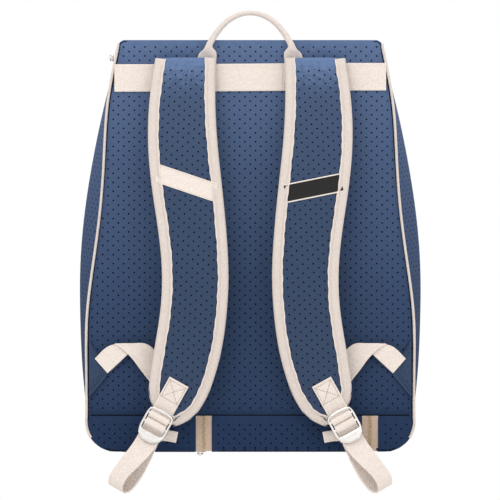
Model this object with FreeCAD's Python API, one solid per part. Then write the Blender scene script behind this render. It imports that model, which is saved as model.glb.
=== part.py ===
"""Racket backpack: one STEP file per sewn panel, strap, webbing, buckle and zip piece.

Lengths are millimetres. The script works in bag axes: X across the back, Y from the harness
side (y = 0) to the front, Z up from the base (z = 0). Every file is written in the row frame,
whose origin is the underside of the grab handle's arch, where a hook or hand holds the bag.
"""

import FreeCAD, Part
import math
import os
from FreeCAD import Vector

# ---- driving dimensions -------------------------------------------------------------------
HEIGHT = 461.0
MAIN_DEPTH = 120.0          # harness panel to the racket divider
TOTAL_DEPTH = 190.0         # harness panel to the front, low down
TOP_DEPTH = 128.0           # harness panel to the front, at the top
FRONT_LOW_Z, FRONT_HIGH_Z = 36.0, 380.0     # the front is flat between these heights
FRONT_LEAN = 36.0           # and leans back by this much
WALL = 4.0                  # perforated fabric laminated on foam
GAP = 0.5                   # between panels that move apart
WEB = 25.0                  # harness webbing
WEB_THICK = 1.6
BAND = 31.0                 # webbing across the shoulders
SEAM_Z = 41.0               # seam across the low back
LID_Z = 447.0               # lower edge of the lid's sides
SHELF_Z = 106.0             # floor of the main compartment
DOOR_LEFT, DOOR_RIGHT = -52.0, 134.0    # centre lines of the shoe door's two zips
DOOR_Y = 104.0              # the shoe door's hinge line on the base
TAPE = 9.0                  # half of a zip's tape
PIPING = 3.6
POCKET_DEPTH = 30.0
POCKET_ZIP_Y = 14.0         # the pocket's zip, in front of the cover's low edge
TAB_THICK = 4.0             # the doubled fabric triangle at the side seam
FOLDED_WEB = 2.4
TRIM_FRONT = -1.9           # the shoulder band's face, on which the straps and handle are sewn
TRIM_THICK = 1.6

# Half widths of the outline at these heights: along the piping, at the fullest part of the
# sides, where the gussets meet the racket cover, and at the front.
LEVELS = (40.0, 90.0, 150.0, 210.0, 270.0, 330.0, 390.0, 452.0)
PIPED = (183.0, 183.0, 182.6, 175.6, 167.8, 163.4, 159.4, 148.0)
FULL = (183.6, 188.8, 191.6, 191.4, 186.4, 176.8, 164.0, 147.6)
MIDDLE = (174.0, 177.0, 179.0, 178.6, 173.5, 165.5, 155.5, 141.6)
FRONT = (158.0, 163.0, 166.0, 165.0, 160.0, 150.0, 138.0, 124.0)
SECTIONS = ((0.0, PIPED, 141.0), (45.0, FULL, 150.0), (120.0, MIDDLE, 148.0), (200.0, FRONT, 128.0))

# ---- harness ------------------------------------------------------------------------------
STRAP_TOP = 441.0
STRAP_THICK = 10.0
BINDING = 10.0
# Left strap: height, outer edge and inner edge.
STRAP = (
    (441.0, -105.0, -39.5), (394.0, -111.5, -40.2), (338.0, -112.8, -37.0),
    (290.0, -108.0, -31.8), (241.0, -100.8, -27.3), (193.0, -97.4, -25.3),
    (155.0, -99.7, -27.4), (104.0, -108.0, -35.4), (66.0, -113.2, -47.0),
)
STRAP_TIP = Vector(-89.0, 0.0, 27.0)
# The strap's bag side, as depth and height.
DROP = (
    (-4.2, 441.0), (-8.0, 420.0), (-15.0, 380.0), (-23.0, 320.0), (-27.0, 250.0),
    (-27.0, 180.0), (-24.0, 120.0), (-19.0, 66.0), (-16.0, 20.0),
)
ACCENT_Z = 303.0            # the slanted tape across each strap, at the strap's middle
ACCENT_WIDTH = 21.0
BUCKLE_AT = Vector(-106.5, -36.0, 30.0)
BUCKLE_TILT = 29.0
BUCKLE_LENGTH = 38.0
BUCKLE_WIDTH = 31.0
BAR_R = 1.5
SEWN_BAR_U = -10.5
GRIP_BAR_U = -0.5
HANDLE_X = 46.0             # half the distance between the handle's necks
HANDLE_R = 4.0
HANDLE_TOP = 493.0
HANDLE_Y = -6.0
HANDLE_FOLD_Z = 446.0

ORIGIN = Vector(0.0, HANDLE_Y, HANDLE_TOP - 2 * HANDLE_R)


# ---- helpers ------------------------------------------------------------------------------
def box(x0, x1, y0, y1, z0, z1):
    return Part.makeBox(x1 - x0, y1 - y0, z1 - z0, Vector(x0, y0, z0))


def spline(points):
    curve = Part.BSplineCurve()
    curve.interpolate(points)
    return curve.toShape()


def line(a, b):
    return Part.LineSegment(a, b).toShape()


def arc(a, middle, b):
    return Part.Arc(a, middle, b).toShape()


def mirrored(shape):
    return shape.mirror(Vector(0, 0, 0), Vector(1, 0, 0))


def polygon(points):
    return Part.Face(Part.makePolygon([*points, points[0]]))


def slab_xz(points, y0, y1):
    """A plate of the XZ outline, between two depths."""
    return polygon([Vector(x, y0, z) for x, z in points]).extrude(Vector(0, y1 - y0, 0))


def outline(y, widths, foot, inset):
    """The bag's cross outline in the plane y, taken in by inset all round."""
    low, high = inset, HEIGHT - inset
    side = [Vector(w - inset, y, z) for w, z in zip(widths, LEVELS)]
    foot_end = Vector(foot, y, low)
    bulge = Vector(foot + 0.74 * (side[0].x - foot), y, low + 0.22 * (side[0].z - low))
    top_end = Vector(side[-1].x - 6.0, y, high)
    shoulder = Vector(side[-1].x - 1.6, y, high - 2.6)
    right = [
        arc(foot_end, bulge, side[0]),
        spline(side),
        arc(side[-1], shoulder, top_end),
    ]
    left = [mirrored(edge) for edge in right]
    bottom = line(Vector(-foot, y, low), foot_end)
    top = line(top_end, Vector(-top_end.x, y, high))
    return Part.Wire(Part.__sortEdges__([bottom, *right, top, *left]))


def side_profile(inset):
    """The bag seen from the side, as a solid that is wider than the bag."""
    front_low = Vector(0, TOTAL_DEPTH - inset, FRONT_LOW_Z)
    front_high = Vector(0, TOTAL_DEPTH - FRONT_LEAN - inset, FRONT_HIGH_Z)
    base_end = Vector(0, TOTAL_DEPTH - 28.0, inset)
    top_end = Vector(0, TOP_DEPTH - 6.0, HEIGHT - inset)
    low_bulge = Vector(0, TOTAL_DEPTH - inset - 7.5, inset + 8.5)
    top_bulge = Vector(0, TOP_DEPTH + 15.5 - inset, HEIGHT - 27.0 - inset)
    back_low, back_high = Vector(0, inset, inset), Vector(0, inset, HEIGHT - inset)
    wire = Part.Wire([
        line(back_low, base_end),
        arc(base_end, low_bulge, front_low),
        line(front_low, front_high),
        arc(front_high, top_bulge, top_end),
        line(top_end, back_high),
        line(back_high, back_low),
    ])
    solid = Part.Face(wire).extrude(Vector(500, 0, 0))
    solid.translate(Vector(-250, 0, 0))
    return solid


def bag_solid(inset):
    """The bag's outer form, or with an inset the room inside its walls."""
    wires = [outline(y, widths, foot, inset) for y, widths, foot in SECTIONS]
    return Part.makeLoft(wires, True, True).common(side_profile(inset))


def prism_u(points, width, centre_v=0.0):
    """A solid whose outline lies in the buckle's own U-N plane, width across V."""
    face = polygon([Vector(u, centre_v - width / 2, n) for u, n in points])
    return face.extrude(Vector(0, width, 0))


def ribbon(path, thick, width, centre_v=0.0):
    """Webbing along a U-N path, with thick added on the path's left."""
    far = []
    for i, (u, n) in enumerate(path):
        before = path[max(i - 1, 0)]
        after = path[min(i + 1, len(path) - 1)]
        du, dn = after[0] - before[0], after[1] - before[1]
        size = math.hypot(du, dn)
        far.append((u - dn / size * thick, n + du / size * thick))
    return prism_u([*path, *reversed(far)], width, centre_v)


def around(bar_u, radius, first, last):
    """Points of a turn round a cross bar, between two angles in degrees."""
    steps = max(2, round(abs(last - first) / 28))
    angles = [math.radians(first + (last - first) * i / steps) for i in range(steps + 1)]
    return [(bar_u + radius * math.cos(a), radius * math.sin(a)) for a in angles]


def at_buckle(shape):
    """Carries a shape from the buckle's U-V-N axes to the left strap's end."""
    tilt = math.radians(BUCKLE_TILT)
    s, c = math.sin(tilt), math.cos(tilt)
    turn = FreeCAD.Matrix(
        -s, c, 0, BUCKLE_AT.x,
        0, 0, -1, BUCKLE_AT.y,
        -c, -s, 0, BUCKLE_AT.z,
        0, 0, 0, 1,
    )
    return shape.transformGeometry(turn)


# ---- bag panels ---------------------------------------------------------------------------
def panels():
    outer, inner = bag_solid(0.0), bag_solid(WALL)
    shell = outer.cut(inner)
    wide = 260.0
    foot = SECTIONS[0][2]
    back = shell.common(box(-wide, wide, 0, WALL, -1, HEIGHT + 1))
    main = shell.common(box(-wide, wide, WALL, MAIN_DEPTH, -1, LID_Z))
    slot = box(DOOR_LEFT - TAPE, DOOR_RIGHT + TAPE, -1, DOOR_Y, -1, SEAM_Z)
    upper_back = back.common(box(-wide, wide, -1, WALL + 1, SEAM_Z, HEIGHT + 1))
    lower_back = back.common(box(-wide, wide, -1, WALL + 1, -1, SEAM_Z)).cut(slot)
    sides = main.cut(box(-foot, foot, 0, MAIN_DEPTH, -1, WALL)).cut(slot)
    base = box(-foot, foot, WALL, MAIN_DEPTH, 0, WALL).cut(slot)
    lid_region = box(-wide, wide, WALL + GAP, MAIN_DEPTH - 2 * GAP, LID_Z + GAP, HEIGHT + 1)
    cover_region = box(-wide, wide, MAIN_DEPTH + GAP, 260, -1, HEIGHT + 1)
    divider = inner.common(box(-wide, wide, MAIN_DEPTH - WALL, MAIN_DEPTH, 0, LID_Z))
    shelf = inner.common(box(-wide, wide, WALL, MAIN_DEPTH - WALL, SHELF_Z, SHELF_Z + 3))
    board = inner.common(
        box(-150, 150, WALL + 8, MAIN_DEPTH - WALL - 2, SHELF_Z + 3, SHELF_Z + 5)
    )
    padding = inner.common(box(-140, 140, WALL, WALL + 7, SHELF_Z + 5, 432))
    sleeve = inner.common(box(-118, 118, 22, 24.5, SHELF_Z + 5, 340))
    sleeve_sides = [
        box(x, x + 3, WALL + 7, 22, SHELF_Z + 5, 340) for x in (-118, 115)
    ]
    door = door_panel(back, base=shell.common(box(-wide, wide, WALL, DOOR_Y, -1, WALL)))
    return {
        "back_panel": upper_back,
        "lower_back_left": lower_back.common(box(-wide, DOOR_LEFT, -1, 9, -1, 60)),
        "lower_back_right": lower_back.common(box(DOOR_RIGHT, wide, -1, 9, -1, 60)),
        "side_gusset_left": sides.common(box(-wide, 0, 0, 300, -1, HEIGHT)),
        "side_gusset_right": sides.common(box(0, wide, 0, 300, -1, HEIGHT)),
        "base_panel": base,
        "racket_divider": divider,
        "shoe_compartment_ceiling": shelf,
        "base_board": board,
        "back_foam_pad": padding,
        "laptop_sleeve": sleeve.fuse(sleeve_sides).removeSplitter(),
        "lid": shell.common(lid_region),
        "racket_cover": shell.common(cover_region),
        "shoe_door": door,
    }


def door_panel(back, base):
    """The shoe door: a strip of the low back and the part of the base that it turns under."""
    left, right = DOOR_LEFT + TAPE, DOOR_RIGHT - TAPE
    strip = back.common(box(left, right, -1, WALL + 1, -1, SEAM_Z - GAP))
    floor = base.common(box(left, right, WALL, DOOR_Y - GAP, -1, WALL + 1))
    return strip.fuse(floor).removeSplitter()


def shoe_zips():
    """Tape halves and teeth of the two zips, as those on the bag and those on the door."""
    def half(x0, x1):
        up = box(x0, x1, 1.0, 2.4, 1.0, SEAM_Z - GAP)
        under = box(x0, x1, 2.4, DOOR_Y - GAP, 1.0, 2.4)
        return up.fuse(under).removeSplitter()

    play = 0.15
    bag = [half(DOOR_LEFT - TAPE, DOOR_LEFT - play), half(DOOR_RIGHT + play, DOOR_RIGHT + TAPE)]
    door = [half(DOOR_LEFT + play, DOOR_LEFT + TAPE), half(DOOR_RIGHT - TAPE, DOOR_RIGHT - play)]
    return {
        "shoe_zip_tape_bag": Part.makeCompound(bag),
        "shoe_zip_tape_door": Part.makeCompound(door),
    }


def skin(region, thick):
    """A strip that lies on the bag's outside."""
    grown = [
        (y, tuple(w + thick for w in widths), foot) for y, widths, foot in SECTIONS
    ]
    wires = [outline(y, widths, foot, 0.0) for y, widths, foot in grown]
    return Part.makeLoft(wires, True, True).common(region).cut(bag_solid(0.0))


def side_zips():
    """Tapes that lie on the gussets: under the lid's sides, and beside the racket cover."""
    lid_runs = skin(box(-260, 260, 14, MAIN_DEPTH - 14, LID_Z - 10, LID_Z), 1.2)
    cover_runs = skin(box(-260, 260, MAIN_DEPTH - 9, MAIN_DEPTH, 50, LID_Z - 22), 1.2)
    return {"lid_zip_tape": lid_runs, "racket_cover_zip_tape": cover_runs}


def on_front(shape):
    """Leans an upright shape back with the front, about the front's low edge."""
    lean = math.degrees(math.atan2(FRONT_LEAN, FRONT_HIGH_Z - FRONT_LOW_Z))
    leant = shape.copy()
    leant.rotate(Vector(0, TOTAL_DEPTH, FRONT_LOW_Z), Vector(1, 0, 0), lean)
    return leant


def pouch(inset):
    """The front pocket's outer form, or with an inset its room."""
    half, low, high = 108 - inset, 62 + inset, 262 - inset
    points = [(-half, low), (half, low), (half - 12, high), (-half + 12, high)]
    block = slab_xz(points, 150, TOTAL_DEPTH + POCKET_DEPTH - inset)
    upright = [e for e in block.Edges if abs(e.Vertexes[0].Y - e.Vertexes[-1].Y) > 1]
    block = block.makeFillet(20 - inset, upright)
    front = [e for e in block.Edges if min(v.Y for v in e.Vertexes) > TOTAL_DEPTH]
    return on_front(block.makeFillet(8 - inset, front)).cut(bag_solid(0.0))


def front_pocket():
    """A pouch on the racket cover with its zip along the top."""
    middle = TOTAL_DEPTH + POCKET_ZIP_Y
    mouth = on_front(box(-80, 80, middle - 5, middle + 5, 250, 270))
    halves = [
        on_front(box(-80, 80, middle + a, middle + b, 262 - 2.2, 262 - 0.8))
        for a, b in ((-5, -0.2), (0.2, 5))
    ]
    return {
        "front_pocket": pouch(0).cut(pouch(3)).cut(mouth),
        "front_pocket_zip_tape": Part.makeCompound(halves),
    }


# ---- trim ---------------------------------------------------------------------------------
def piping():
    """The cord in the seam round the back panel, on the left."""
    side = [Vector(-w - 0.3, -0.2, z) for w, z in zip(PIPED, LEVELS)]
    path = Part.Wire([spline(side)])
    circle = Part.Wire([Part.Circle(side[0], Vector(0, 0, 1), PIPING / 2).toShape()])
    tube = path.makePipeShell([circle], True, True)
    return tube.cut(bag_solid(0.0))


def anchor_tab():
    """The folded triangle of fabric that holds the adjuster webbing in the left seam."""
    return slab_xz([(-180.5, 126), (-160.5, 92), (-159.5, 86), (-180.5, 61)], -TAB_THICK, 0.0)


def anchor_web():
    """The webbing from the left tab, folded over and led down behind the strap."""
    points = [
        (-173, 106), (-158, 120.5), (-150, 121), (-117, 121.5), (-106, 113),
        (-72, 62), (-92, 48), (-114, 80), (-137, 109.5), (-159.5, 89),
    ]
    return slab_xz(points, -TAB_THICK - FOLDED_WEB, -TAB_THICK)


def handle():
    """The rolled webbing arch, and the two flat ends sewn under the straps' tops."""
    necks = [Vector(s * HANDLE_X, HANDLE_Y, HANDLE_FOLD_Z + 10) for s in (-1, 1)]
    crown = Vector(0, HANDLE_Y, HANDLE_TOP - HANDLE_R)
    shoulder = [Vector(s * 31, HANDLE_Y, HANDLE_TOP - HANDLE_R - 13.5) for s in (-1, 1)]
    path = Part.Wire([
        line(necks[0], shoulder[0]),
        arc(shoulder[0], crown, shoulder[1]),
        line(shoulder[1], necks[1]),
    ])
    direction = shoulder[0] - necks[0]
    circle = Part.Wire([Part.Circle(necks[0], direction, HANDLE_R).toShape()])
    roll = path.makePipeShell([circle], True, True)
    flare = slab_xz(
        [(-59, HANDLE_FOLD_Z + 0.5), (-38, HANDLE_FOLD_Z + 0.5), (-39, 453), (-43, 457), (-49.5, 458)],
        HANDLE_Y - 1.5, HANDLE_Y + 1.5,
    )
    arch = roll.fuse([flare, mirrored(flare)]).removeSplitter()
    end = [(-59, 412), (-38, 412), (-38, HANDLE_FOLD_Z), (-59, HANDLE_FOLD_Z)]
    foot = slab_xz(end, TRIM_FRONT - TRIM_THICK, TRIM_FRONT)
    return {"grab_handle": arch, "grab_handle_ends": Part.makeCompound([foot, mirrored(foot)])}


# ---- shoulder straps ----------------------------------------------------------------------
def strap_outline(inset):
    outer = [Vector(a + inset, -70, z) for z, a, _ in STRAP]
    inner = [Vector(b - inset, -70, z) for z, _, b in STRAP]
    tip = Vector(STRAP_TIP.x, -70, STRAP_TIP.z + inset)
    heel = Vector(outer[-1].x + 4, -70, outer[-1].z - 14)
    toe = Vector(inner[-1].x - 15, -70, inner[-1].z - 26 + inset / 3)
    wire = Part.Wire([
        line(inner[0], outer[0]),
        spline(outer),
        line(outer[-1], heel),
        line(heel, tip),
        line(tip, toe),
        line(toe, inner[-1]),
        spline(inner[::-1]),
    ])
    return Part.Face(wire).extrude(Vector(0, 80, 0))


def strap_sheet(near, thick):
    """A sheet that hangs as the strap does, from near to near + thick in front of its back."""
    back = [Vector(-150, y - near, z) for y, z in DROP]
    front = [Vector(-150, y - near - thick, z) for y, z in DROP]
    wire = Part.Wire([
        spline(back),
        line(back[-1], front[-1]),
        spline(front[::-1]),
        line(front[0], back[0]),
    ])
    return Part.Face(wire).extrude(Vector(160, 0, 0))


def strap():
    sheet = strap_sheet(0.0, STRAP_THICK)
    whole, core = strap_outline(0.0), strap_outline(BINDING)
    half = ACCENT_WIDTH / 2
    slant = 0.34
    tape = [
        (-122, ACCENT_Z + half + 52 * slant), (-18, ACCENT_Z + half - 52 * slant),
        (-18, ACCENT_Z - half - 52 * slant), (-122, ACCENT_Z - half + 52 * slant),
    ]
    accent = strap_sheet(STRAP_THICK, 0.8).common(core).common(slab_xz(tape, -70, 0))
    return {
        "strap_pad": sheet.common(core),
        "strap_binding": sheet.common(whole.cut(core)),
        "strap_accent": accent,
    }


def ladder_lock():
    """The cast buckle: a rounded frame, two cross bars and a broad lip."""
    half_u, half_v, thick = BUCKLE_LENGTH / 2, BUCKLE_WIDTH / 2, 1.7
    frame = Part.makeBox(2 * half_u, 2 * half_v, 2 * thick, Vector(-half_u, -half_v, -thick))
    upright = [e for e in frame.Edges if abs(e.Vertexes[0].Z - e.Vertexes[-1].Z) > 1]
    frame = frame.makeFillet(7.0, upright)
    window = Part.makeBox(25.5, WEB + 1.6, 10, Vector(-half_u + 2.6, -WEB / 2 - 0.8, -5))
    frame = frame.cut(window)
    bars = [
        Part.makeCylinder(BAR_R, BUCKLE_WIDTH - 3, Vector(u, -half_v + 1.5, 0), Vector(0, 1, 0))
        for u in (SEWN_BAR_U, GRIP_BAR_U)
    ]
    return at_buckle(frame.fuse(bars).removeSplitter())


def buckle_web():
    """The webbing sewn on the strap's end and round the buckle's first bar."""
    path = [
        (-54, -5.0), (-36, -6.4), (-28, -7.2), (-21, -7.4), (-16.0, -7.4), (-12.9, -6.0),
        *around(SEWN_BAR_U, BAR_R + 0.6, 205, -20),
        (-8.2, -3.2), (-10.2, -5.0),
    ]
    return at_buckle(ribbon(path, WEB_THICK, WEB - 0.6))


def adjuster_web():
    """The long webbing: round the grip bar, out under the lip, and back as a hanging loop."""
    path = [
        (9, -8.6), (2, -8.0), (-3.6, -5.4),
        *around(GRIP_BAR_U, BAR_R + WEB_THICK + 0.5, 200, -15),
        (5.2, -3.0), (10, -4.4), (22, -3.6), (40, 1.0), (60, 3.4), (72, 2.2),
        (79, -3.0), (81, -9.0), (78, -14.5), (66, -17.5), (40, -16.0), (20, -13.5), (4, -13.0),
    ]
    return at_buckle(ribbon(path, -WEB_THICK, WEB - 0.6))


def strap_root():
    """The strap's end that is sewn to the shoulder band."""
    return box(-103, -60, TRIM_FRONT - TRIM_THICK, TRIM_FRONT, 408, 436)


# ---- zip sliders --------------------------------------------------------------------------
def slider_and_pull(length=11.0, width=8.0, height=5.0, pull=26.0):
    """A slider on the plane Z = 0 that runs along X, and its pull lying along -X."""
    body = Part.makeBox(length, width, height - 2.2, Vector(-length / 2, -width / 2, 0.3))
    upright = [e for e in body.Edges if abs(e.Vertexes[0].Z - e.Vertexes[-1].Z) > 1]
    body = body.makeFillet(2.0, upright)
    bridge = Part.makeBox(7.0, 2.4, 3.6, Vector(-3.5, -1.2, height - 2.2))
    eye = Part.makeBox(4.2, 4.0, 2.0, Vector(-2.1, -2.0, height - 1.9))
    body = body.fuse(bridge).cut(eye)
    ring = Part.makeBox(9.0, 6.4, 1.2, Vector(-7.4, -3.2, height - 1.5))
    hole = Part.makeBox(4.6, 3.4, 3.0, Vector(-4.9, -1.7, height - 2.4))
    ring = ring.cut(hole).cut(Part.makeBox(3, 9, 3, Vector(0.9, -4.5, height - 2.4)))
    tab = Part.makeBox(pull, 6.4, 1.8, Vector(-7.4 - pull, -3.2, height - 1.8))
    return body, ring.fuse(tab).removeSplitter()


def placed(shapes, origin, along, up):
    """Carries a slider and its pull to origin, with its X along one axis and its Z along another."""
    across = up.cross(along)
    turn = FreeCAD.Matrix(
        along.x, across.x, up.x, origin.x,
        along.y, across.y, up.y, origin.y,
        along.z, across.z, up.z, origin.z,
        0, 0, 0, 1,
    )
    return [shape.transformGeometry(turn) for shape in shapes]


def sliders():
    x_axis, y_axis, z_axis = Vector(1, 0, 0), Vector(0, 1, 0), Vector(0, 0, 1)
    spots = {
        "pocket_zip": (Vector(64, TOTAL_DEPTH + POCKET_ZIP_Y, 261.4), x_axis, z_axis),
        "shoe_zip": (Vector(DOOR_LEFT - 4.3, DOOR_Y - 25, 0.6), y_axis * -1, z_axis * -1),
        "racket_zip": (Vector(-182.4, MAIN_DEPTH - 4.6, 100), z_axis, x_axis * -1),
        "lid_zip": (Vector(-152.8, 34, LID_Z - 5), y_axis * -1, x_axis * -1),
    }
    nodes = {}
    for name, (origin, along, up) in spots.items():
        body, pull = placed(slider_and_pull(), origin, along, up)
        if name == "pocket_zip":
            body, pull = on_front(body), on_front(pull)
        nodes[name + "_slider"], nodes[name + "_pull"] = body, pull
    return nodes


def both_sides(name, shape):
    return {name + "_left": shape, name + "_right": mirrored(shape)}


def build():
    nodes = {**panels(), **shoe_zips(), **side_zips(), **front_pocket(), **handle(), **sliders()}
    low, high = STRAP_TOP - 3.0 - BAND, STRAP_TOP - 3.0
    corners = [(-152, low), (152, low), (149, high), (-149, high)]
    nodes["shoulder_band"] = slab_xz(corners, TRIM_FRONT, 0)
    nodes.update(both_sides("piping", piping()))
    nodes.update(both_sides("anchor_tab", anchor_tab()))
    nodes.update(both_sides("anchor_web", anchor_web()))
    nodes.update(both_sides("strap_root", strap_root()))
    nodes.update(both_sides("ladder_lock", ladder_lock()))
    nodes.update(both_sides("buckle_web", buckle_web()))
    nodes.update(both_sides("adjuster_web", adjuster_web()))
    for name, shape in strap().items():
        nodes.update(both_sides(name, shape))
    nodes["strap_tape_left"] = nodes.pop("strap_accent_left")
    nodes["strap_label_right"] = nodes.pop("strap_accent_right")
    return nodes


def main():
    os.makedirs("parts", exist_ok=True)
    for name, shape in build().items():
        shape.translate(ORIGIN * -1)
        solids = shape.Solids
        print(name, len(solids), round(shape.Volume), shape.isValid())
        whole = solids[0] if len(solids) == 1 else Part.makeCompound(solids)
        whole.exportStep("parts/" + name + ".step")


main()
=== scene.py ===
"""Looks of the racket backpack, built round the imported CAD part, as a Blender add-on."""

import math

import bmesh
import bpy
import numpy as np
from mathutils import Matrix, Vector
from mathutils.bvhtree import BVHTree


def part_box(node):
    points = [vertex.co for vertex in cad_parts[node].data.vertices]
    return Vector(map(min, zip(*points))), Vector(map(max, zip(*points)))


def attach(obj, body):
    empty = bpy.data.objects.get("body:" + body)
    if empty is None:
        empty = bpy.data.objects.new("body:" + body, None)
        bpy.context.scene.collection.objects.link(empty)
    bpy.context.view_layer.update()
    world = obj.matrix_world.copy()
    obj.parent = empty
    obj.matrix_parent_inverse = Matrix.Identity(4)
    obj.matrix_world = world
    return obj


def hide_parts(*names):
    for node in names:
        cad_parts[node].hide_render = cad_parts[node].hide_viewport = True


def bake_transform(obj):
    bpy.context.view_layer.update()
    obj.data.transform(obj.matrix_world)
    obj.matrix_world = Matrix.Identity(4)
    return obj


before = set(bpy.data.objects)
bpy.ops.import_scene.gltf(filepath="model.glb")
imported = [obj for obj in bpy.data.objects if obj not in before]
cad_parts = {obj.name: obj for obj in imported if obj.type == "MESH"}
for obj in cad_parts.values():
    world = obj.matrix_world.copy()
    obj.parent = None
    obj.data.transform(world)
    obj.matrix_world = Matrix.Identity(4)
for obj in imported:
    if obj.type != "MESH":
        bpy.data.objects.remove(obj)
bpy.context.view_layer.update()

bl_info = {
    "name": "Racket backpack",
    "version": (1, 0, 0),
    "blender": (4, 5, 0),
    "location": "View3D > Sidebar > Backpack",
    "description": "Builds the cloth, webbing, zips and buckles of a racket backpack",
    "category": "Add Mesh",
}

# ---- sizes, in millimetres, in bag axes: X across, Y from the harness side, Z from the base ----
BACK_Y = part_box("back_panel")[0].y
BASE_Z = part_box("base_panel")[0].z
LEVELS = (40.0, 90.0, 150.0, 210.0, 270.0, 330.0, 390.0, 452.0)
PIPED = (183.0, 183.0, 182.6, 175.6, 167.8, 163.4, 159.4, 148.0)
FULL = (183.6, 188.8, 191.6, 191.4, 186.4, 176.8, 164.0, 147.6)
MIDDLE = (174.0, 177.0, 179.0, 178.6, 173.5, 165.5, 155.5, 141.6)
FRONT = (158.0, 163.0, 166.0, 165.0, 160.0, 150.0, 138.0, 124.0)
SECTIONS = (
    (0.0, PIPED, 141.0), (45.0, FULL, 150.0), (120.0, MIDDLE, 148.0), (200.0, FRONT, 128.0),
)
TOP = 461.0
SEAM_Z = 41.0
BAND_Z = 419.2
LID_Z = 447.0
DIVIDE_Y = 120.0
DOOR = (-43.0, 125.0, 103.5)
LEAN = math.atan2(36.0, 344.0)
STRAP = (
    (441.0, -105.0, -39.5), (394.0, -111.5, -40.2), (338.0, -112.8, -37.0),
    (290.0, -108.0, -31.8), (241.0, -100.8, -27.3), (193.0, -97.4, -25.3),
    (155.0, -99.7, -27.4), (104.0, -108.0, -35.4), (66.0, -113.2, -47.0),
)
DROP = (
    (-4.2, 441.0), (-8.0, 420.0), (-15.0, 380.0), (-23.0, 320.0), (-27.0, 250.0),
    (-27.0, 180.0), (-24.0, 120.0), (-19.0, 66.0), (-16.0, 20.0),
)
STRAP_THICK = 10.0
STRAP_TOP = 436.5
STRAP_FOOT = 66.0
WEB_WIDTH = 24.4
WEB_THICK = 1.6
BUCKLE_AT = (-106.5, -36.0, 30.0)
BUCKLE_TILT = math.radians(29.0)
POCKET = (108.0, 96.0, 62.0, 262.0, 20.0)
DOOR_ZIPS = (-61.0, 143.0)
HOLE_DEPTH = 1.2
SHEET_MARGIN = 0.03
FLOOR_RADIUS = 2.1
FLOOR_DROP = 0.115
EYE_DISTANCE = 12.0
EYE_HEIGHT = 0.226038
VIEW_WIDTH = 0.5595
SENSOR = 36.0
LIGHTS = (
    ("key", (-0.9, -1.9, 1.7), 1.6), ("top", (0.4, 0.3, 2.2), 1.8), ("fill", (1.6, -2.2, 0.1), 2.0),
)
SIDES = (("left", -1.0), ("right", 1.0))
MM = 0.001
CLOTH = "navy_perforated_neoprene"


def row(points):
    """Bag millimetres to the row frame's metres."""
    return np.asarray(points, float) * MM + np.array([0.0, BACK_Y, BASE_Z])


# ---- curves and outlines ------------------------------------------------------------------
def through(xs, ys, x):
    """The natural cubic through the points, at x."""
    xs, ys = np.asarray(xs, float), np.asarray(ys, float)
    n, h = len(xs), np.diff(xs)
    a, b = np.eye(n), np.zeros(n)
    for i in range(1, n - 1):
        a[i, i - 1:i + 2] = h[i - 1], 2 * (h[i - 1] + h[i]), h[i]
        b[i] = 6 * ((ys[i + 1] - ys[i]) / h[i] - (ys[i] - ys[i - 1]) / h[i - 1])
    m = np.linalg.solve(a, b)
    k = np.clip(np.searchsorted(xs, x) - 1, 0, n - 2)
    t, hk = x - xs[k], h[k]
    slope = (ys[k + 1] - ys[k]) / hk - hk * (2 * m[k] + m[k + 1]) / 6
    return ys[k] + t * slope + t * t * m[k] / 2 + t ** 3 * (m[k + 1] - m[k]) / (6 * hk)


def lengths(points):
    """Distances along a line, from its first point."""
    points = np.asarray(points, float)
    return np.concatenate([[0], np.cumsum(np.linalg.norm(np.diff(points, axis=0), axis=1))])


def resample(points, count):
    """The line evenly divided into a number of points."""
    points = np.asarray(points, float)
    s = lengths(points)
    where = np.linspace(0, s[-1], count)
    return np.column_stack([np.interp(where, s, points[:, i]) for i in range(points.shape[1])])


def smooth(points, count):
    """A smooth curve through the points, evenly divided."""
    points = np.asarray(points, float)
    s = lengths(points)
    dense = np.linspace(0, s[-1], count * 4)
    return resample(np.column_stack([through(s, c, dense) for c in points.T]), count)


def arc3(a, m, b, count):
    """The circular arc from a through m to b."""
    (ax, ay), (mx, my), (bx, by) = a, m, b
    d = 2 * (ax * (my - by) + mx * (by - ay) + bx * (ay - my))
    a2, m2, b2 = ax * ax + ay * ay, mx * mx + my * my, bx * bx + by * by
    cx = (a2 * (my - by) + m2 * (by - ay) + b2 * (ay - my)) / d
    cy = (a2 * (bx - mx) + m2 * (ax - bx) + b2 * (mx - ax)) / d
    r = math.hypot(ax - cx, ay - cy)
    first, last = math.atan2(ay - cy, ax - cx), math.atan2(by - cy, bx - cx)
    if last - first > math.pi:
        last -= 2 * math.pi
    if first - last > math.pi:
        last += 2 * math.pi
    t = np.linspace(first, last, count)
    return np.column_stack([cx + r * np.cos(t), cy + r * np.sin(t)])


def ring(y, low=0.0, high=TOP, count=80):
    """The right half of the bag's outline at depth y, as x and z, from the base to the top."""
    for (y0, w0, f0), (y1, w1, f1) in zip(SECTIONS, SECTIONS[1:]):
        if y <= y1:
            break
    t = (y - y0) / (y1 - y0)
    w = np.array(w0) * (1 - t) + np.array(w1) * t
    foot = f0 * (1 - t) + f1 * t
    bottom = arc3((foot, 0), (foot + 0.74 * (w[0] - foot), 8.8), (w[0], 40), 14)
    z = np.linspace(40, 452, 60)
    side = np.column_stack([through(LEVELS, w, z), z])
    top = arc3((w[-1], 452), (w[-1] - 1.6, 458.4), (w[-1] - 6, TOP), 8)
    path = np.vstack([bottom, side[1:], top[1:]])
    fine = resample(path, 900)
    return resample(fine[(fine[:, 1] >= low - 1e-6) & (fine[:, 1] <= high + 1e-6)], count)


def foot(y):
    """Half the width of the bag's flat base at depth y."""
    return np.interp(y, [s[0] for s in SECTIONS], [s[2] for s in SECTIONS])


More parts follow.
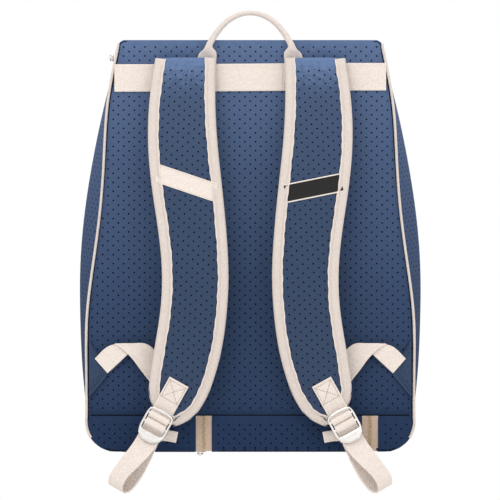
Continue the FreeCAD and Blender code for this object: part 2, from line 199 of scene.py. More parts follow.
def half_width(y, z):
    """Half the bag's width at a depth and a height."""
    half = ring(y, count=240)
    return float(np.interp(z, half[:, 1], half[:, 0]))


def front_profile(count):
    """The bag's front seen from the side, as y and z, from the base to the top."""
    low = arc3((162, 0), (182.5, 8.5), (190, 36), 12)
    high = arc3((154, 380), (143.5, 434), (122, TOP), 14)
    return resample(np.vstack([low, high]), count)


def leant(points):
    """Leans upright points back with the bag's front."""
    p = np.asarray(points, float).copy()
    y, z = p[..., 1] - 190.0, p[..., 2] - 36.0
    c, s = math.cos(LEAN), math.sin(LEAN)
    p[..., 1], p[..., 2] = 190.0 + c * y - s * z, 36.0 + s * y + c * z
    return p


def on_buckle(points, side=-1.0):
    """Carries points from the left buckle's U, V, N axes to bag axes, or to the right one."""
    p = np.asarray(points, float)
    s, c = math.sin(BUCKLE_TILT), math.cos(BUCKLE_TILT)
    x = BUCKLE_AT[0] - s * p[..., 0] + c * p[..., 1]
    z = BUCKLE_AT[2] - c * p[..., 0] - s * p[..., 1]
    return np.stack([-side * x, BUCKLE_AT[1] - p[..., 2], z], axis=-1)


def mirror(points, side):
    """Points made for the left side, or mirrored to the right."""
    return np.asarray(points, float) * np.array([-side, 1.0, 1.0])


# ---- meshes -------------------------------------------------------------------------------
def new_object(name, verts, faces, material=None, uv=None, edges=()):
    """A linked object with a new mesh, smooth, with its materials and one UV pair a point."""
    mesh = bpy.data.meshes.new(name)
    mesh.from_pydata([tuple(v) for v in verts], list(edges), [tuple(f) for f in faces])
    if uv is not None:
        layer = mesh.uv_layers.new(name="UVMap")
        which = np.empty(len(mesh.loops), int)
        mesh.loops.foreach_get("vertex_index", which)
        layer.data.foreach_set("uv", np.asarray(uv, np.float32)[which].ravel())
    for m in (material if isinstance(material, (list, tuple)) else [material]):
        if m:
            mesh.materials.append(m)
    if len(faces):
        mesh.polygons.foreach_set("use_smooth", [True] * len(mesh.polygons))
    obj = bpy.data.objects.new(name, mesh)
    bpy.context.scene.collection.objects.link(obj)
    return obj


def grid_faces(rows, cols, closed=False):
    """Quads between the points of a grid, closed on itself along its rows if asked."""
    ids = np.arange(rows * cols).reshape(rows, cols)
    if closed:
        ids = np.column_stack([ids, ids[:, :1]])
    a, b, c, d = ids[:-1, :-1], ids[:-1, 1:], ids[1:, 1:], ids[1:, :-1]
    return np.stack([a, b, c, d], axis=-1).reshape(-1, 4)


def grid_normals(grid):
    """Unit normals at a grid's points."""
    du = np.gradient(grid, axis=1)
    dv = np.gradient(grid, axis=0)
    n = np.cross(du, dv)
    size = np.linalg.norm(n, axis=-1, keepdims=True)
    return n / np.maximum(size, 1e-12)


def facing(grid, outward):
    """The grid, with its columns turned round if its normals don't face outward."""
    mean = grid_normals(grid).reshape(-1, 3).mean(axis=0)
    return grid if np.dot(mean, outward) > 0 else grid[:, ::-1]


def sheet_uv(grid):
    """Flat coordinates in metres: across from the middle, and along by mean length."""
    along = np.concatenate([[0], np.cumsum(
        np.linalg.norm(np.diff(grid, axis=0), axis=2).mean(axis=1))])
    step = np.linalg.norm(np.diff(grid, axis=1), axis=2)
    across = np.concatenate([np.zeros((grid.shape[0], 1)), np.cumsum(step, axis=1)], axis=1)
    across -= across[:, grid.shape[1] // 2][:, None]
    return np.stack([across, np.repeat(along[:, None], grid.shape[1], 1)], axis=-1)


def evaluated(obj, name):
    """The object's mesh with its modifiers applied, as a new plain object."""
    graph = bpy.context.evaluated_depsgraph_get()
    mesh = bpy.data.meshes.new_from_object(obj.evaluated_get(graph))
    mesh.name = name
    bpy.data.objects.remove(obj)
    made = bpy.data.objects.new(name, mesh)
    bpy.context.scene.collection.objects.link(made)
    return made


def recalculated(obj):
    """Turns a closed mesh's faces outward."""
    bm = bmesh.new()
    bm.from_mesh(obj.data)
    bmesh.ops.remove_doubles(bm, verts=bm.verts, dist=1e-6)
    bmesh.ops.recalc_face_normals(bm, faces=bm.faces)
    bm.to_mesh(obj.data)
    bm.free()
    return obj


def shaded_smooth(obj, angle):
    """Smooth shading, with edges sharper than an angle in degrees kept crisp."""
    obj.data.polygons.foreach_set("use_smooth", [True] * len(obj.data.polygons))
    obj.data.set_sharp_from_angle(angle=math.radians(angle))
    return obj


def given(obj, body, slot, *nodes):
    """Puts a piece on its body and hides the CAD nodes it stands for."""
    if body:
        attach(obj, body)
    if nodes:
        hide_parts(*nodes)
    return obj


# ---- geometry nodes -----------------------------------------------------------------------
def node(tree, kind, values=None, **settings):
    """Adds a node, sets its properties, and links or sets its inputs."""
    made = tree.nodes.new(kind)
    for key, value in settings.items():
        setattr(made, key, value)
    for key, value in (values or {}).items():
        if isinstance(value, bpy.types.NodeSocket):
            tree.links.new(value, made.inputs[key])
        else:
            made.inputs[key].default_value = value
    return made


def gn_tree(name, inputs):
    """A geometry node group with named inputs: the group, its input's sockets, its output's
    sockets and a function that adds a node to it."""
    tree = bpy.data.node_groups.new(name, "GeometryNodeTree")
    tree.interface.new_socket("Geometry", in_out="INPUT", socket_type="NodeSocketGeometry")
    for label, kind, value in inputs:
        socket = tree.interface.new_socket(label, in_out="INPUT", socket_type="NodeSocket" + kind)
        if value is not None:
            socket.default_value = value
    tree.interface.new_socket("Geometry", in_out="OUTPUT", socket_type="NodeSocketGeometry")
    start, end = tree.nodes.new("NodeGroupInput"), tree.nodes.new("NodeGroupOutput")

    def add(kind, values=None, **settings):
        return node(tree, kind, values, **settings).outputs

    return tree, start.outputs, end.inputs, add


def apply_tree(obj, tree, name, values):
    """Runs a node group on an object and returns the realised mesh."""
    modifier = obj.modifiers.new("Nodes", "NODES")
    modifier.node_group = tree
    for item in tree.interface.items_tree:
        if item.in_out == "INPUT" and item.name in values:
            modifier[item.identifier] = values[item.name]
    return evaluated(obj, name)


def perforation_tree():
    """Cuts a staggered lattice of round holes through a sheet, in its own flat coordinates."""
    tree, start, end, add = gn_tree("Perforated cloth", [
        ("Hole radius", "Float", 0.00075), ("Across", "Float", 0.0118), ("Along", "Float", 0.005),
        ("Columns", "Int", 31), ("Rows", "Int", 61), ("Centre", "Vector", (0, 0, 0)),
        ("Turn", "Float", 0.0), ("Margin", "Float", 0.006), ("Depth", "Float", 0.0012),
        ("Unevenness", "Float", 0.0002), ("Seed", "Int", 3),
        ("Cloth", "Material", None), ("Foam", "Material", None),
    ])
    position = add("GeometryNodeInputPosition")[0]
    home = add("GeometryNodeStoreNamedAttribute", {
        "Geometry": start["Geometry"], "Name": "home", "Value": position,
    }, data_type="FLOAT_VECTOR", domain="POINT")[0]
    home = add("GeometryNodeStoreNamedAttribute", {
        "Geometry": home, "Name": "outward", "Value": add("GeometryNodeInputNormal")[0],
    }, data_type="FLOAT_VECTOR", domain="POINT")[0]
    uv = add("GeometryNodeInputNamedAttribute", {"Name": "UVMap"}, data_type="FLOAT_VECTOR")[0]
    flat = add("GeometryNodeSetPosition", {"Geometry": home, "Position": uv})[0]
    border = add("FunctionNodeCompare", {
        2: add("GeometryNodeInputMeshEdgeNeighbors")[0], 3: 1,
    }, data_type="INT", operation="EQUAL")[0]
    rim = add("GeometryNodeMeshToCurve", {"Mesh": flat, "Selection": border})[0]
    rim_edges = add("GeometryNodeCurveToMesh", {"Curve": rim})[0]

    width, height = [
        add("ShaderNodeMath", {
            0: add("ShaderNodeMath", {0: start[number], 1: 1.0}, operation="SUBTRACT")[0],
            1: start[step]}, operation="MULTIPLY")[0]
        for number, step in (("Columns", "Across"), ("Rows", "Along"))]
    lattice = add("GeometryNodeMeshGrid", {
        "Size X": width, "Size Y": height,
        "Vertices X": start["Columns"], "Vertices Y": start["Rows"],
    })[0]
    y = add("ShaderNodeSeparateXYZ", {0: position})[1]
    stagger = y
    for operation, value in (("DIVIDE", start["Along"]), ("ROUND", 0.0), ("FLOORED_MODULO", 2.0),
                             ("MULTIPLY", 0.5), ("MULTIPLY", start["Across"])):
        stagger = add("ShaderNodeMath", {0: stagger, 1: value}, operation=operation)[0]
    noise = add("FunctionNodeRandomValue", {0: (-1, -1, 0), 1: (1, 1, 0), "Seed": start["Seed"]},
                data_type="FLOAT_VECTOR")[0]
    shake = add("ShaderNodeVectorMath", {0: noise, "Scale": start["Unevenness"]},
                operation="SCALE")[0]
    offset = add("ShaderNodeVectorMath", {
        0: add("ShaderNodeCombineXYZ", {0: stagger})[0], 1: shake}, operation="ADD")[0]
    lattice = add("GeometryNodeSetPosition", {"Geometry": lattice, "Offset": offset})[0]
    turn = add("ShaderNodeCombineXYZ", {2: start["Turn"]})[0]
    lattice = add("GeometryNodeTransform", {
        "Geometry": lattice, "Translation": start["Centre"], "Rotation": turn})[0]
    off_sheet = add("GeometryNodeProximity", {"Target": flat}, target_element="FACES")[1]
    from_rim = add("GeometryNodeProximity", {"Target": rim_edges}, target_element="EDGES")[1]
    outside = add("ShaderNodeMath", {0: off_sheet, 1: 1e-5}, operation="GREATER_THAN")[0]
    near_rim = add("ShaderNodeMath", {0: from_rim, 1: start["Margin"]},
                   operation="LESS_THAN")[0]
    unwanted = add("ShaderNodeMath", {0: outside, 1: near_rim}, operation="MAXIMUM")[0]
    lattice = add("GeometryNodeDeleteGeometry", {"Geometry": lattice, "Selection": unwanted},
                  domain="POINT", mode="ALL")[0]
    points = add("GeometryNodeMeshToPoints", {"Mesh": lattice})[0]
    circle = add("GeometryNodeCurvePrimitiveCircle", {
        "Resolution": 8, "Radius": start["Hole radius"]}, mode="RADIUS")[0]
    holes = add("GeometryNodeRealizeInstances", {"Geometry": add("GeometryNodeInstanceOnPoints", {
        "Points": points, "Instance": circle})[0]})[0]
    join = tree.nodes.new("GeometryNodeJoinGeometry")
    tree.links.new(rim, join.inputs[0])
    tree.links.new(holes, join.inputs[0])
    filled = add("GeometryNodeFillCurve", {"Curve": join.outputs[0]}, mode="TRIANGLES")[0]

    def sampled(name):
        value = add("GeometryNodeInputNamedAttribute", {"Name": name}, data_type="FLOAT_VECTOR")[0]
        return add("GeometryNodeSampleNearestSurface", {
            "Mesh": flat, "Value": value, "Sample Position": position},
            data_type="FLOAT_VECTOR")[0]

    cloth = add("GeometryNodeStoreNamedAttribute", {
        "Geometry": filled, "Name": "outward", "Value": sampled("outward")},
        data_type="FLOAT_VECTOR", domain="POINT")[0]
    cloth = add("GeometryNodeSetPosition", {"Geometry": cloth, "Position": sampled("home")})[0]
    cloth = add("GeometryNodeSetMaterial", {"Geometry": cloth, "Material": start["Cloth"]})[0]
    outward = add("GeometryNodeInputNamedAttribute", {"Name": "outward"},
                  data_type="FLOAT_VECTOR")[0]
    below = add("ShaderNodeMath", {0: start["Depth"], 1: -1.0}, operation="MULTIPLY")[0]
    inward = add("ShaderNodeVectorMath", {0: outward, "Scale": below}, operation="SCALE")[0]
    open_edge = add("FunctionNodeCompare", {
        2: add("GeometryNodeInputMeshEdgeNeighbors")[0], 3: 1,
    }, data_type="INT", operation="EQUAL")[0]
    walls = add("GeometryNodeExtrudeMesh", {
        "Mesh": cloth, "Selection": open_edge, "Offset": inward}, mode="EDGES")
    done = add("GeometryNodeSetMaterial", {
        "Geometry": add("GeometryNodeRealizeInstances", {"Geometry": walls["Mesh"]})[0],
        "Selection": walls["Side"], "Material": start["Foam"]})[0]
    tree.links.new(done, end[0])
    return tree


def row_tree():
    """Sets small rounded pieces, such as stitches or zip teeth, along the edges of a line."""
    tree, start, end, add = gn_tree("Row of pieces", [
        ("Pitch", "Float", 0.003), ("Size", "Vector", (0.0004, 0.0004, 0.001)),
        ("Across", "Vector", (1, 0, 0)), ("Stagger", "Float", 0.0),
        ("Segments", "Int", 6), ("Rings", "Int", 4), ("Material", "Material", None),
    ])
    line = add("GeometryNodeMeshToCurve", {"Mesh": start["Geometry"]})[0]
    points = add("GeometryNodeCurveToPoints", {"Curve": line, "Length": start["Pitch"]},
                 mode="LENGTH")
    parity = add("ShaderNodeMath", {0: add("GeometryNodeInputIndex")[0], 1: 2.0},
                 operation="MODULO")[0]
    sway = add("ShaderNodeMath", {0: parity, 1: 0.5}, operation="SUBTRACT")[0]
    sway = add("ShaderNodeMath", {0: sway, 1: start["Stagger"]}, operation="MULTIPLY")[0]
    offset = add("ShaderNodeVectorMath", {0: start["Across"], "Scale": sway},
                 operation="SCALE")[0]
    placed = add("GeometryNodeSetPosition", {"Geometry": points["Points"], "Offset": offset})[0]
    turn = add("FunctionNodeAxesToRotation", {
        "Primary Axis": points["Tangent"], "Secondary Axis": start["Across"],
    }, primary_axis="Z", secondary_axis="X")[0]
    piece = add("GeometryNodeMeshUVSphere", {
        "Segments": start["Segments"], "Rings": start["Rings"], "Radius": 1.0})[0]
    piece = add("GeometryNodeSetShadeSmooth", {"Geometry": piece})[0]
    rows = add("GeometryNodeInstanceOnPoints", {
        "Points": placed, "Instance": piece, "Rotation": turn, "Scale": start["Size"]})[0]
    real = add("GeometryNodeRealizeInstances", {"Geometry": rows})[0]
    done = add("GeometryNodeSetMaterial", {
        "Geometry": real, "Material": start["Material"]})[0]
    tree.links.new(done, end[0])
    return tree


# ---- cloth --------------------------------------------------------------------------------
def cut_holes(sheet, name, flat, margin, turn=0.0, depth=HOLE_DEPTH, cloth="navy", reseed=0):
    """Perforates a sheet that lies flat at the given coordinates."""
    p = bpy.context.scene.backpack
    low, high = flat.min(axis=0), flat.max(axis=0)
    span = high - low + SHEET_MARGIN
    made = apply_tree(sheet, TREES["holes"], name, {
        "Hole radius": p.hole_diameter / 2, "Across": p.hole_across, "Along": p.hole_along,
        "Columns": int(span[0] / p.hole_across) + 2,
        "Rows": 2 * int(span[1] / p.hole_along / 2) + 3,
        "Centre": (*((low + high) / 2), 0.0), "Turn": turn, "Margin": margin * MM,
        "Depth": depth * MM, "Unevenness": p.hole_unevenness, "Seed": p.seed + reseed,
        "Cloth": MATERIALS[cloth], "Foam": MATERIALS["foam"],
    })
    for attribute in ("home", "outward"):
        found = made.data.attributes.get(attribute)
        if found:
            made.data.attributes.remove(found)
    return shaded_smooth(made, 42)


def perforated(name, grid, outward, flat=None, margin=6.0, turn=0.0, depth=HOLE_DEPTH,
               cloth="navy"):
    """A perforated sheet over a grid of row-frame points, with the holes' walls below it."""
    uv = sheet_uv(grid) if flat is None else flat
    mean = grid_normals(grid).reshape(-1, 3).mean(axis=0)
    if np.dot(mean, outward) < 0:
        grid, uv = grid[:, ::-1], uv[:, ::-1]
    corners = uv[[0, 0, -1, -1], [0, -1, 0, -1]]
    winding = np.cross(corners[1] - corners[0], corners[2] - corners[0])
    if winding < 0:
        uv = uv * np.array([-1.0, 1.0])
    flat_uv = uv.reshape(-1, 2)
    sheet = new_object(name, grid.reshape(-1, 3), grid_faces(*grid.shape[:2]), None, flat_uv)
    return cut_holes(sheet, name, flat_uv, margin, turn, depth, cloth)


def closed_grids(upper, lower):
    """Points and faces of a closed sheet between two grids, and each face's kind: 0 on the
    upper grid, 1 on the lower one and 2 round the rim."""
    rows, cols = upper.shape[:2]
    count = rows * cols
    faces = grid_faces(rows, cols)
    ids = np.arange(count).reshape(rows, cols)
    loop = np.concatenate([ids[0, :-1], ids[:-1, -1], ids[-1, :0:-1], ids[:0:-1, 0]])
    following = np.roll(loop, -1)
    rim = np.stack([loop, loop + count, following + count, following], axis=-1)
    kinds = np.repeat([0, 1, 2], [len(faces), len(faces), len(rim)])
    return (np.vstack([upper.reshape(-1, 3), lower.reshape(-1, 3)]),
            np.vstack([faces, faces[:, ::-1] + count, rim]), kinds)


def closed_between(name, upper, lower, materials):
    """A closed piece between two grids of the same size: (upper, lower, rim) materials."""
    verts, faces, kinds = closed_grids(upper, lower)
    obj = new_object(name, verts, faces, materials)
    obj.data.polygons.foreach_set("material_index", kinds)
    return obj


def slab(name, grid, outward, top, bottom, materials):
    """A closed sheet under the grid, from top to bottom millimetres below it."""
    grid = facing(grid, outward)
    n = grid_normals(grid)
    obj = closed_between(name, grid - n * top * MM, grid - n * bottom * MM, materials)
    obj.data.set_sharp_from_angle(angle=math.radians(50))
    return obj


def panel(name, grid, outward, body, slot, nodes=(), margin=6.0, turn=0.0, wall=4.0, flat=None):
    """A bag panel: perforated cloth over a foam core with a lining on its inside."""
    cloth = perforated(name + "_cloth", grid, outward, flat, margin, turn)
    given(cloth, body, slot, *nodes)
    core = slab(name + "_lining", grid, outward, 1.15, wall,
                (MATERIALS["foam"], MATERIALS["lining"], MATERIALS["navy"]))
    given(core, body, "lining_fabric")
    return cloth


def inflated(grid, outward, pressure, cap, frames=14, thick=6.0, free=None):
    """Lets cloth pinned round its rim fill out under pressure; no point moves beyond the cap."""
    grid = facing(grid, outward)
    rows, cols = grid.shape[:2]
    count = rows * cols
    ids = np.arange(count).reshape(rows, cols)
    verts, faces, _ = closed_grids(grid, grid - grid_normals(grid) * thick * MM)
    obj = new_object("cloth_run", verts, faces)
    held = np.zeros((rows, cols), bool)
    held[[0, -1], :] = True
    held[:, [0, -1]] = True
    if free is not None:
        held |= ~free
    pins = obj.vertex_groups.new(name="pins")
    pins.add([int(i) for i in ids[held]], 1.0, "REPLACE")
    pins.add(list(range(count, 2 * count)), 1.0, "REPLACE")
    cloth = obj.modifiers.new("Cloth", "CLOTH")
    s = cloth.settings
    s.quality, s.mass = 5, 0.25
    s.tension_stiffness = s.compression_stiffness = 12
    s.shear_stiffness, s.bending_stiffness = 4, 0.6
    s.use_pressure, s.uniform_pressure_force = True, pressure
    s.vertex_group_mass = "pins"
    s.effector_weights.gravity = 0
    cloth.point_cache.frame_start, cloth.point_cache.frame_end = 1, frames
    for f in range(1, frames + 1):
        bpy.context.scene.frame_set(f)
    graph = bpy.context.evaluated_depsgraph_get()
    out = np.empty(2 * count * 3)
    obj.evaluated_get(graph).data.vertices.foreach_get("co", out)
    bpy.data.objects.remove(obj)
    bpy.context.scene.frame_set(1)
    moved = out.reshape(-1, 3)[:count].reshape(rows, cols, 3) - grid
    size = np.linalg.norm(moved, axis=-1, keepdims=True)
    limit = cap * MM
    return grid + moved * (limit * np.tanh(size / limit) / np.maximum(size, 1e-9))


def hollowed(grid, depth, reach, outward, edges="udlr"):
    """Draws a panel in towards the seams on its edges."""
    grid = facing(grid, outward)
    n = grid_normals(grid)
    rows, cols = grid.shape[:2]
    flat = sheet_uv(grid) / MM
    near = np.full((rows, cols), 1e9)
    if "d" in edges:
        near = np.minimum(near, flat[..., 1] - flat[0, 0, 1])
    if "u" in edges:
        near = np.minimum(near, flat[-1, 0, 1] - flat[..., 1])
    if "l" in edges:
        near = np.minimum(near, flat[..., 0] - flat[:, :1, 0])
    if "r" in edges:
        near = np.minimum(near, flat[:, -1:, 0] - flat[..., 0])
    return grid - n * (depth * MM * np.exp(-near / reach))[..., None]


def sweep(name, centres, sides, ups, profile, material, closed=False):
    """A closed profile, as (side, up) pairs in metres, carried along a line of centres.
    profile is one outline, or one for each centre."""
    centres, sides, ups = (np.asarray(a, float) for a in (centres, sides, ups))
    profile = np.asarray(profile, float)
    if profile.ndim == 2:
        profile = np.repeat(profile[None], len(centres), axis=0)
    n, m = profile.shape[:2]
    verts = (centres[:, None] + sides[:, None] * profile[..., :1] + ups[:, None] * profile[..., 1:])
    s = lengths(centres)
    ids = np.arange(n * m).reshape(n, m)
    if closed:
        ids = np.vstack([ids, ids[:1]])
    ids = np.column_stack([ids, ids[:, :1]])
    faces = [tuple(f) for f in np.stack(
        [ids[:-1, :-1], ids[:-1, 1:], ids[1:, 1:], ids[1:, :-1]], axis=-1).reshape(-1, 4)]
    if not closed:
        faces += [tuple(range(m))[::-1], tuple(range((n - 1) * m, n * m))]
    uv = np.stack([profile[..., 0], np.repeat(s[:, None], m, 1)], axis=-1).reshape(-1, 2)
    obj = new_object(name, verts.reshape(-1, 3), faces, material, uv)
    recalculated(obj)
    obj.data.set_sharp_from_angle(angle=math.radians(55))
    return obj


def frames_along(points, up):
    """Side and up directions along a line, from one up direction or one for each point."""
    points = np.asarray(points, float)
    t = np.gradient(points, axis=0)
    t /= np.linalg.norm(t, axis=1, keepdims=True)
    up = np.broadcast_to(np.asarray(up, float), points.shape)
    side = np.cross(t, up)
    side /= np.linalg.norm(side, axis=1, keepdims=True)
    return side, np.cross(side, t)


def woven_profile(width, thick):
    """A webbing's section in metres: a flat strip with a raised, rounded selvedge."""
    w, t = width / 2 * MM, thick / 2 * MM
    top = [(-w, 0), (-w + 0.35 * t, 0.8 * t), (-w + 1.1 * t, 1.15 * t), (-w + 2.4 * t, 1.1 * t),
           (-w + 3.2 * t, 0.85 * t), (-0.5 * w, 0.95 * t), (0, t), (0.5 * w, 0.95 * t),
           (w - 3.2 * t, 0.85 * t), (w - 2.4 * t, 1.1 * t), (w - 1.1 * t, 1.15 * t),
           (w - 0.35 * t, 0.8 * t), (w, 0)]
    return top + [(x, -y) for x, y in top[-2:0:-1]]


def webbing(name, path, up, width, thick, material, count=None):
    """Webbing along a smooth path of bag millimetres."""
    points = smooth(path, count or max(12, int(lengths(path)[-1] / 3))) if len(path) > 2 \
        else resample(path, max(8, int(lengths(path)[-1] / 5)))
    side, ups = frames_along(points, up)
    return sweep(name, row(points), side, ups, woven_profile(width, thick), material)


def tube(name, path, radius, material, sides=10, up=(0.13, 0.21, 0.97), closed=False):
    """A round cord along row-frame points."""
    side, ups = frames_along(path, up)
    t = np.arange(sides) * 2 * math.pi / sides
    r = np.asarray(radius, float) * MM
    outline = np.column_stack([np.cos(t), np.sin(t)])
    profile = outline[None] * (np.full(len(path), r) if r.ndim == 0 else r)[:, None, None]
    return sweep(name, path, side, ups, profile, material, closed)


def lines_object(name, lines):
    """Loose edges along lines of points."""
    verts, edges = [], []
    for line in lines:
        first = len(verts)
        verts += [tuple(p) for p in line]
        edges += [(first + i, first + i + 1) for i in range(len(line) - 1)]
    return new_object(name, verts, [], None, None, edges)


def stitches(name, lines, body, material="thread", pitch=None, size=(0.32, 0.32, 1.05)):
    """Rows of thread stitches along lines of row-frame points."""
    p = bpy.context.scene.backpack
    made = apply_tree(lines_object(name, lines), TREES["row"], name, {
        "Pitch": pitch or p.stitch_pitch, "Size": tuple(v * MM for v in size),
        "Across": (0.577, 0.577, 0.577), "Stagger": 0.0, "Segments": 5, "Rings": 3,
        "Material": MATERIALS[material]})
    slot = CLOTH if material == "navy_thread" else "cream_webbing"
    return given(made, body, slot)


def teeth(name, line, across, body):
    """The coil of a closed zip, along row-frame points."""
    p = bpy.context.scene.backpack
    made = apply_tree(lines_object(name, [line]), TREES["row"], name, {
        "Pitch": p.tooth_pitch, "Size": (0.0017, 0.0009, 0.00062), "Across": tuple(across),
        "Stagger": 0.0011, "Segments": 6, "Rings": 4, "Material": MATERIALS["coil"]})
    return given(made, body, "zip_tape")


def refined(node_name, name, body, slot, material, bevel, segments=2, angle=40):
    """A CAD node's own form with its edges softened and its real surface."""
    obj = bpy.data.objects.new(name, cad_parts[node_name].data.copy())
    bpy.context.scene.collection.objects.link(obj)
    obj.data.materials.clear()
    obj.data.materials.append(MATERIALS[material])
    weld = obj.modifiers.new("Weld", "WELD")
    weld.merge_threshold = 0.00002
    soft = obj.modifiers.new("Bevel", "BEVEL")
    soft.width, soft.segments = bevel * MM, segments
    soft.limit_method, soft.angle_limit = "ANGLE", math.radians(angle)
    made = evaluated(obj, name)
    return given(shaded_smooth(made, 35), body, slot, node_name)


# ---- materials ----------------------------------------------------------------------------
MATERIALS, TREES = {}, {}
WAVE_UNIT = 0.31416    # a band texture's scale times the pitch of its bands
MATT_SPECULAR = 0.12
KNIT = ((0.0009, "DIAGONAL", 0.00009),)
SPUN = ((0.0003, "DIAGONAL", 0.00006),)
# Shares of the top colour by height for the navy cloth: painted top light, lighter towards the top.
TOP_LIGHT_SHARES = ((0.0, 0.0), (0.08, 0.035), (0.13, 0.102), (0.2, 0.139), (0.37, 0.219), (0.54, 0.366),
        (0.69, 0.481), (0.83, 0.661), (0.97, 0.827), (1.0, 1.0))
# Shares of the top colour by height for the straps: a painted highlight where they turn over the
# top.
STRAP_HIGHLIGHT_SHARES = ((0.0, 0.023), (0.35, 0.0), (0.6, 0.036), (0.85, 0.185), (0.885, 0.283),
              (0.915, 0.57), (0.945, 1.0), (1.0, 1.0))
# Each finish: its key, name, dark tone, roughness, weave, mottling per metre and settings.
FINISHES = (
    # The cut edge of the foam in the holes: nearly black, so that each hole reads as a dot.
    ("foam", "neoprene_foam", 0.511, 0.95, (), 1500.0, {}),
    # Plain-woven polyester lining: dull slate blue with a fine square weave.
    ("lining", "polyester_lining", 0.737, 0.7,
     ((0.0007, "X", 0.00008), (0.0007, "Z", 0.00008)), 200.0, {}),
    # Cream polyester webbing: matt, with slanting twill ribs. The pitch is drawn coarse to show.
    ("webbing", "cream_twill_webbing", 0.903, 0.85,
     ((0.0015, "DIAGONAL", 0.0002), (0.0007, "Y", 0.0001)), 300.0, {"coords": "UV"}),
    # The same webbing rolled into the grab handle: tighter, so smoother; its colour is a little
    # darker as painted shade of the rolled grip.
    ("handle", "cream_twill_webbing_rolled", 0.877, 0.85,
     ((0.0021, "DIAGONAL", 0.0001), (0.0007, "Y", 0.00005)), 300.0, {"coords": "UV"}),
    # Cream grosgrain binding: fine ribs across its length.
    ("binding", "cream_grosgrain", 0.884, 0.85, ((0.0009, "Y", 0.0002),), 350.0,
     {"coords": "UV"}),
    # Spun polyester thread: a slight gloss on each stitch.
    ("thread", "cream_thread", 0.825, 0.6, SPUN, 900.0, {}),
    ("box_thread", "beige_thread", 0.841, 0.6, SPUN, 900.0, {}),
    ("navy_thread", "navy_thread", 0.666, 0.6, SPUN, 900.0, {}),
    # Black damask label cloth: flat and close-woven.
    ("label", "black_label_cloth", 0.65, 0.6,
     ((0.0005, "X", 0.00005), (0.0005, "Y", 0.00005)), 500.0, {"coords": "UV"}),
    # Woven polyester zip tape: sand-coloured herringbone, drawn as one twill.
    ("tape", "zip_tape_twill", 0.84, 0.8, ((0.0008, "DIAGONAL", 0.00012),), 400.0, {}),
    # Nylon coil of the zips: smooth plastic with a small highlight on each tooth.
    ("coil", "nylon_coil", 0.78, 0.35, (), 700.0, {}),
    # Zinc die casting, matt nickel plated: bright, with soft reflections.
    ("zinc", "nickel_plated_zinc", 0.859, 0.3, (), 90.0,
     {"metallic": 0.85, "rough_spread": 0.07}),
    # Grey polypropylene stiffening board: faint extrusion lines.
    ("board", "polypropylene_board", 0.77, 0.45, ((0.0022, "X", 0.0001),), 150.0, {}),
    # Pale painted floor: almost white and even.
    ("floor", "pale_floor", 0.955, 0.7, (), 6.0, {}),
)


def linear(colour):
    """An sRGB colour such as '#f6e8de' as linear red, green and blue."""
    parts = [int(colour[i:i + 2], 16) / 255 for i in (1, 3, 5)]
    return [c / 12.92 if c <= 0.04045 else ((c + 0.055) / 1.055) ** 2.4 for c in parts]


def two_tone(colour, dark):
    """Colour stops for a mottled finish: the colour, and a darker tone of it."""
    return (0.3, [c * dark for c in colour]), (0.7, list(colour))


def painted_top_light(low, high, shares):
    """Colour stops for cloth painted lighter with height, as painted top light, from (position,
    share of high) pairs.
    """
    return [(position, [a + (b - a) * share for a, b in zip(low, high)])
            for position, share in shares]


def surface(name, colours, roughness, weaves=(), spread=120.0, height=None, coords="Object",
            metallic=0.0, rough_spread=0.08):
    """A procedural material.
    colours: (position, linear colour) stops, mixed by noise, or by height over (low, high) metres.
    weaves: (pitch in metres, direction, depth in metres) bump bands."""
    material = bpy.data.materials.new(name)
    material.use_nodes = True
    tree = material.node_tree
    shader = tree.nodes["Principled BSDF"]
    where = tree.nodes.new("ShaderNodeTexCoord").outputs["Object"]
    cloth = tree.nodes.new("ShaderNodeUVMap").outputs["UV"] if coords == "UV" else where
    mottle = node(tree, "ShaderNodeTexNoise", {
        "Vector": where, "Scale": spread, "Detail": 4.0, "Roughness": 0.6})
    factor = mottle.outputs["Fac"]
    if height:
        z = node(tree, "ShaderNodeSeparateXYZ", {0: where}).outputs[2]
        up = node(tree, "ShaderNodeMapRange", {
            "Value": z, "From Min": height[0], "From Max": height[1]}).outputs[0]
        drift = node(tree, "ShaderNodeMath", {0: factor, 1: 0.12, 2: -0.06},
                     operation="MULTIPLY_ADD").outputs[0]
        factor = node(tree, "ShaderNodeMath", {0: up, 1: drift}, operation="ADD").outputs[0]
    ramp = node(tree, "ShaderNodeValToRGB", {0: factor})
    stops = ramp.color_ramp.elements
    while len(stops) < len(colours):
        stops.new(0.5)
    for stop, (position, _) in zip(stops, colours):
        stop.position = position
    for stop, (_, colour) in zip(stops, colours):
        stop.color = (*colour, 1.0)
    tree.links.new(ramp.outputs[0], shader.inputs["Base Color"])
    rough = node(tree, "ShaderNodeMapRange", {
        "Value": mottle.outputs["Fac"], "To Min": roughness - rough_spread,
        "To Max": roughness + rough_spread}).outputs[0]
    tree.links.new(rough, shader.inputs["Roughness"])
    normal = None
    for pitch, direction, depth in weaves:
        band = node(tree, "ShaderNodeTexWave", {
            "Vector": cloth, "Scale": WAVE_UNIT / pitch, "Distortion": 0.6, "Detail": 1.0,
            "Detail Scale": 1.5}, wave_type="BANDS", bands_direction=direction)
        bump = node(tree, "ShaderNodeBump", {
            "Height": band.outputs["Fac"], "Distance": depth, "Strength": 1.0})
        if normal:
            tree.links.new(normal, bump.inputs["Normal"])
        normal = bump.outputs[0]
    grain = node(tree, "ShaderNodeTexNoise", {"Vector": where, "Scale": 900.0, "Detail": 2.0})
    fine = node(tree, "ShaderNodeBump", {
        "Height": grain.outputs["Fac"], "Distance": 0.00008, "Strength": 0.7})
    if normal:
        tree.links.new(normal, fine.inputs["Normal"])
    tree.links.new(fine.outputs[0], shader.inputs["Normal"])
    shader.inputs["Metallic"].default_value = metallic
    if not metallic:
        shader.inputs["Specular IOR Level"].default_value = MATT_SPECULAR
    return material


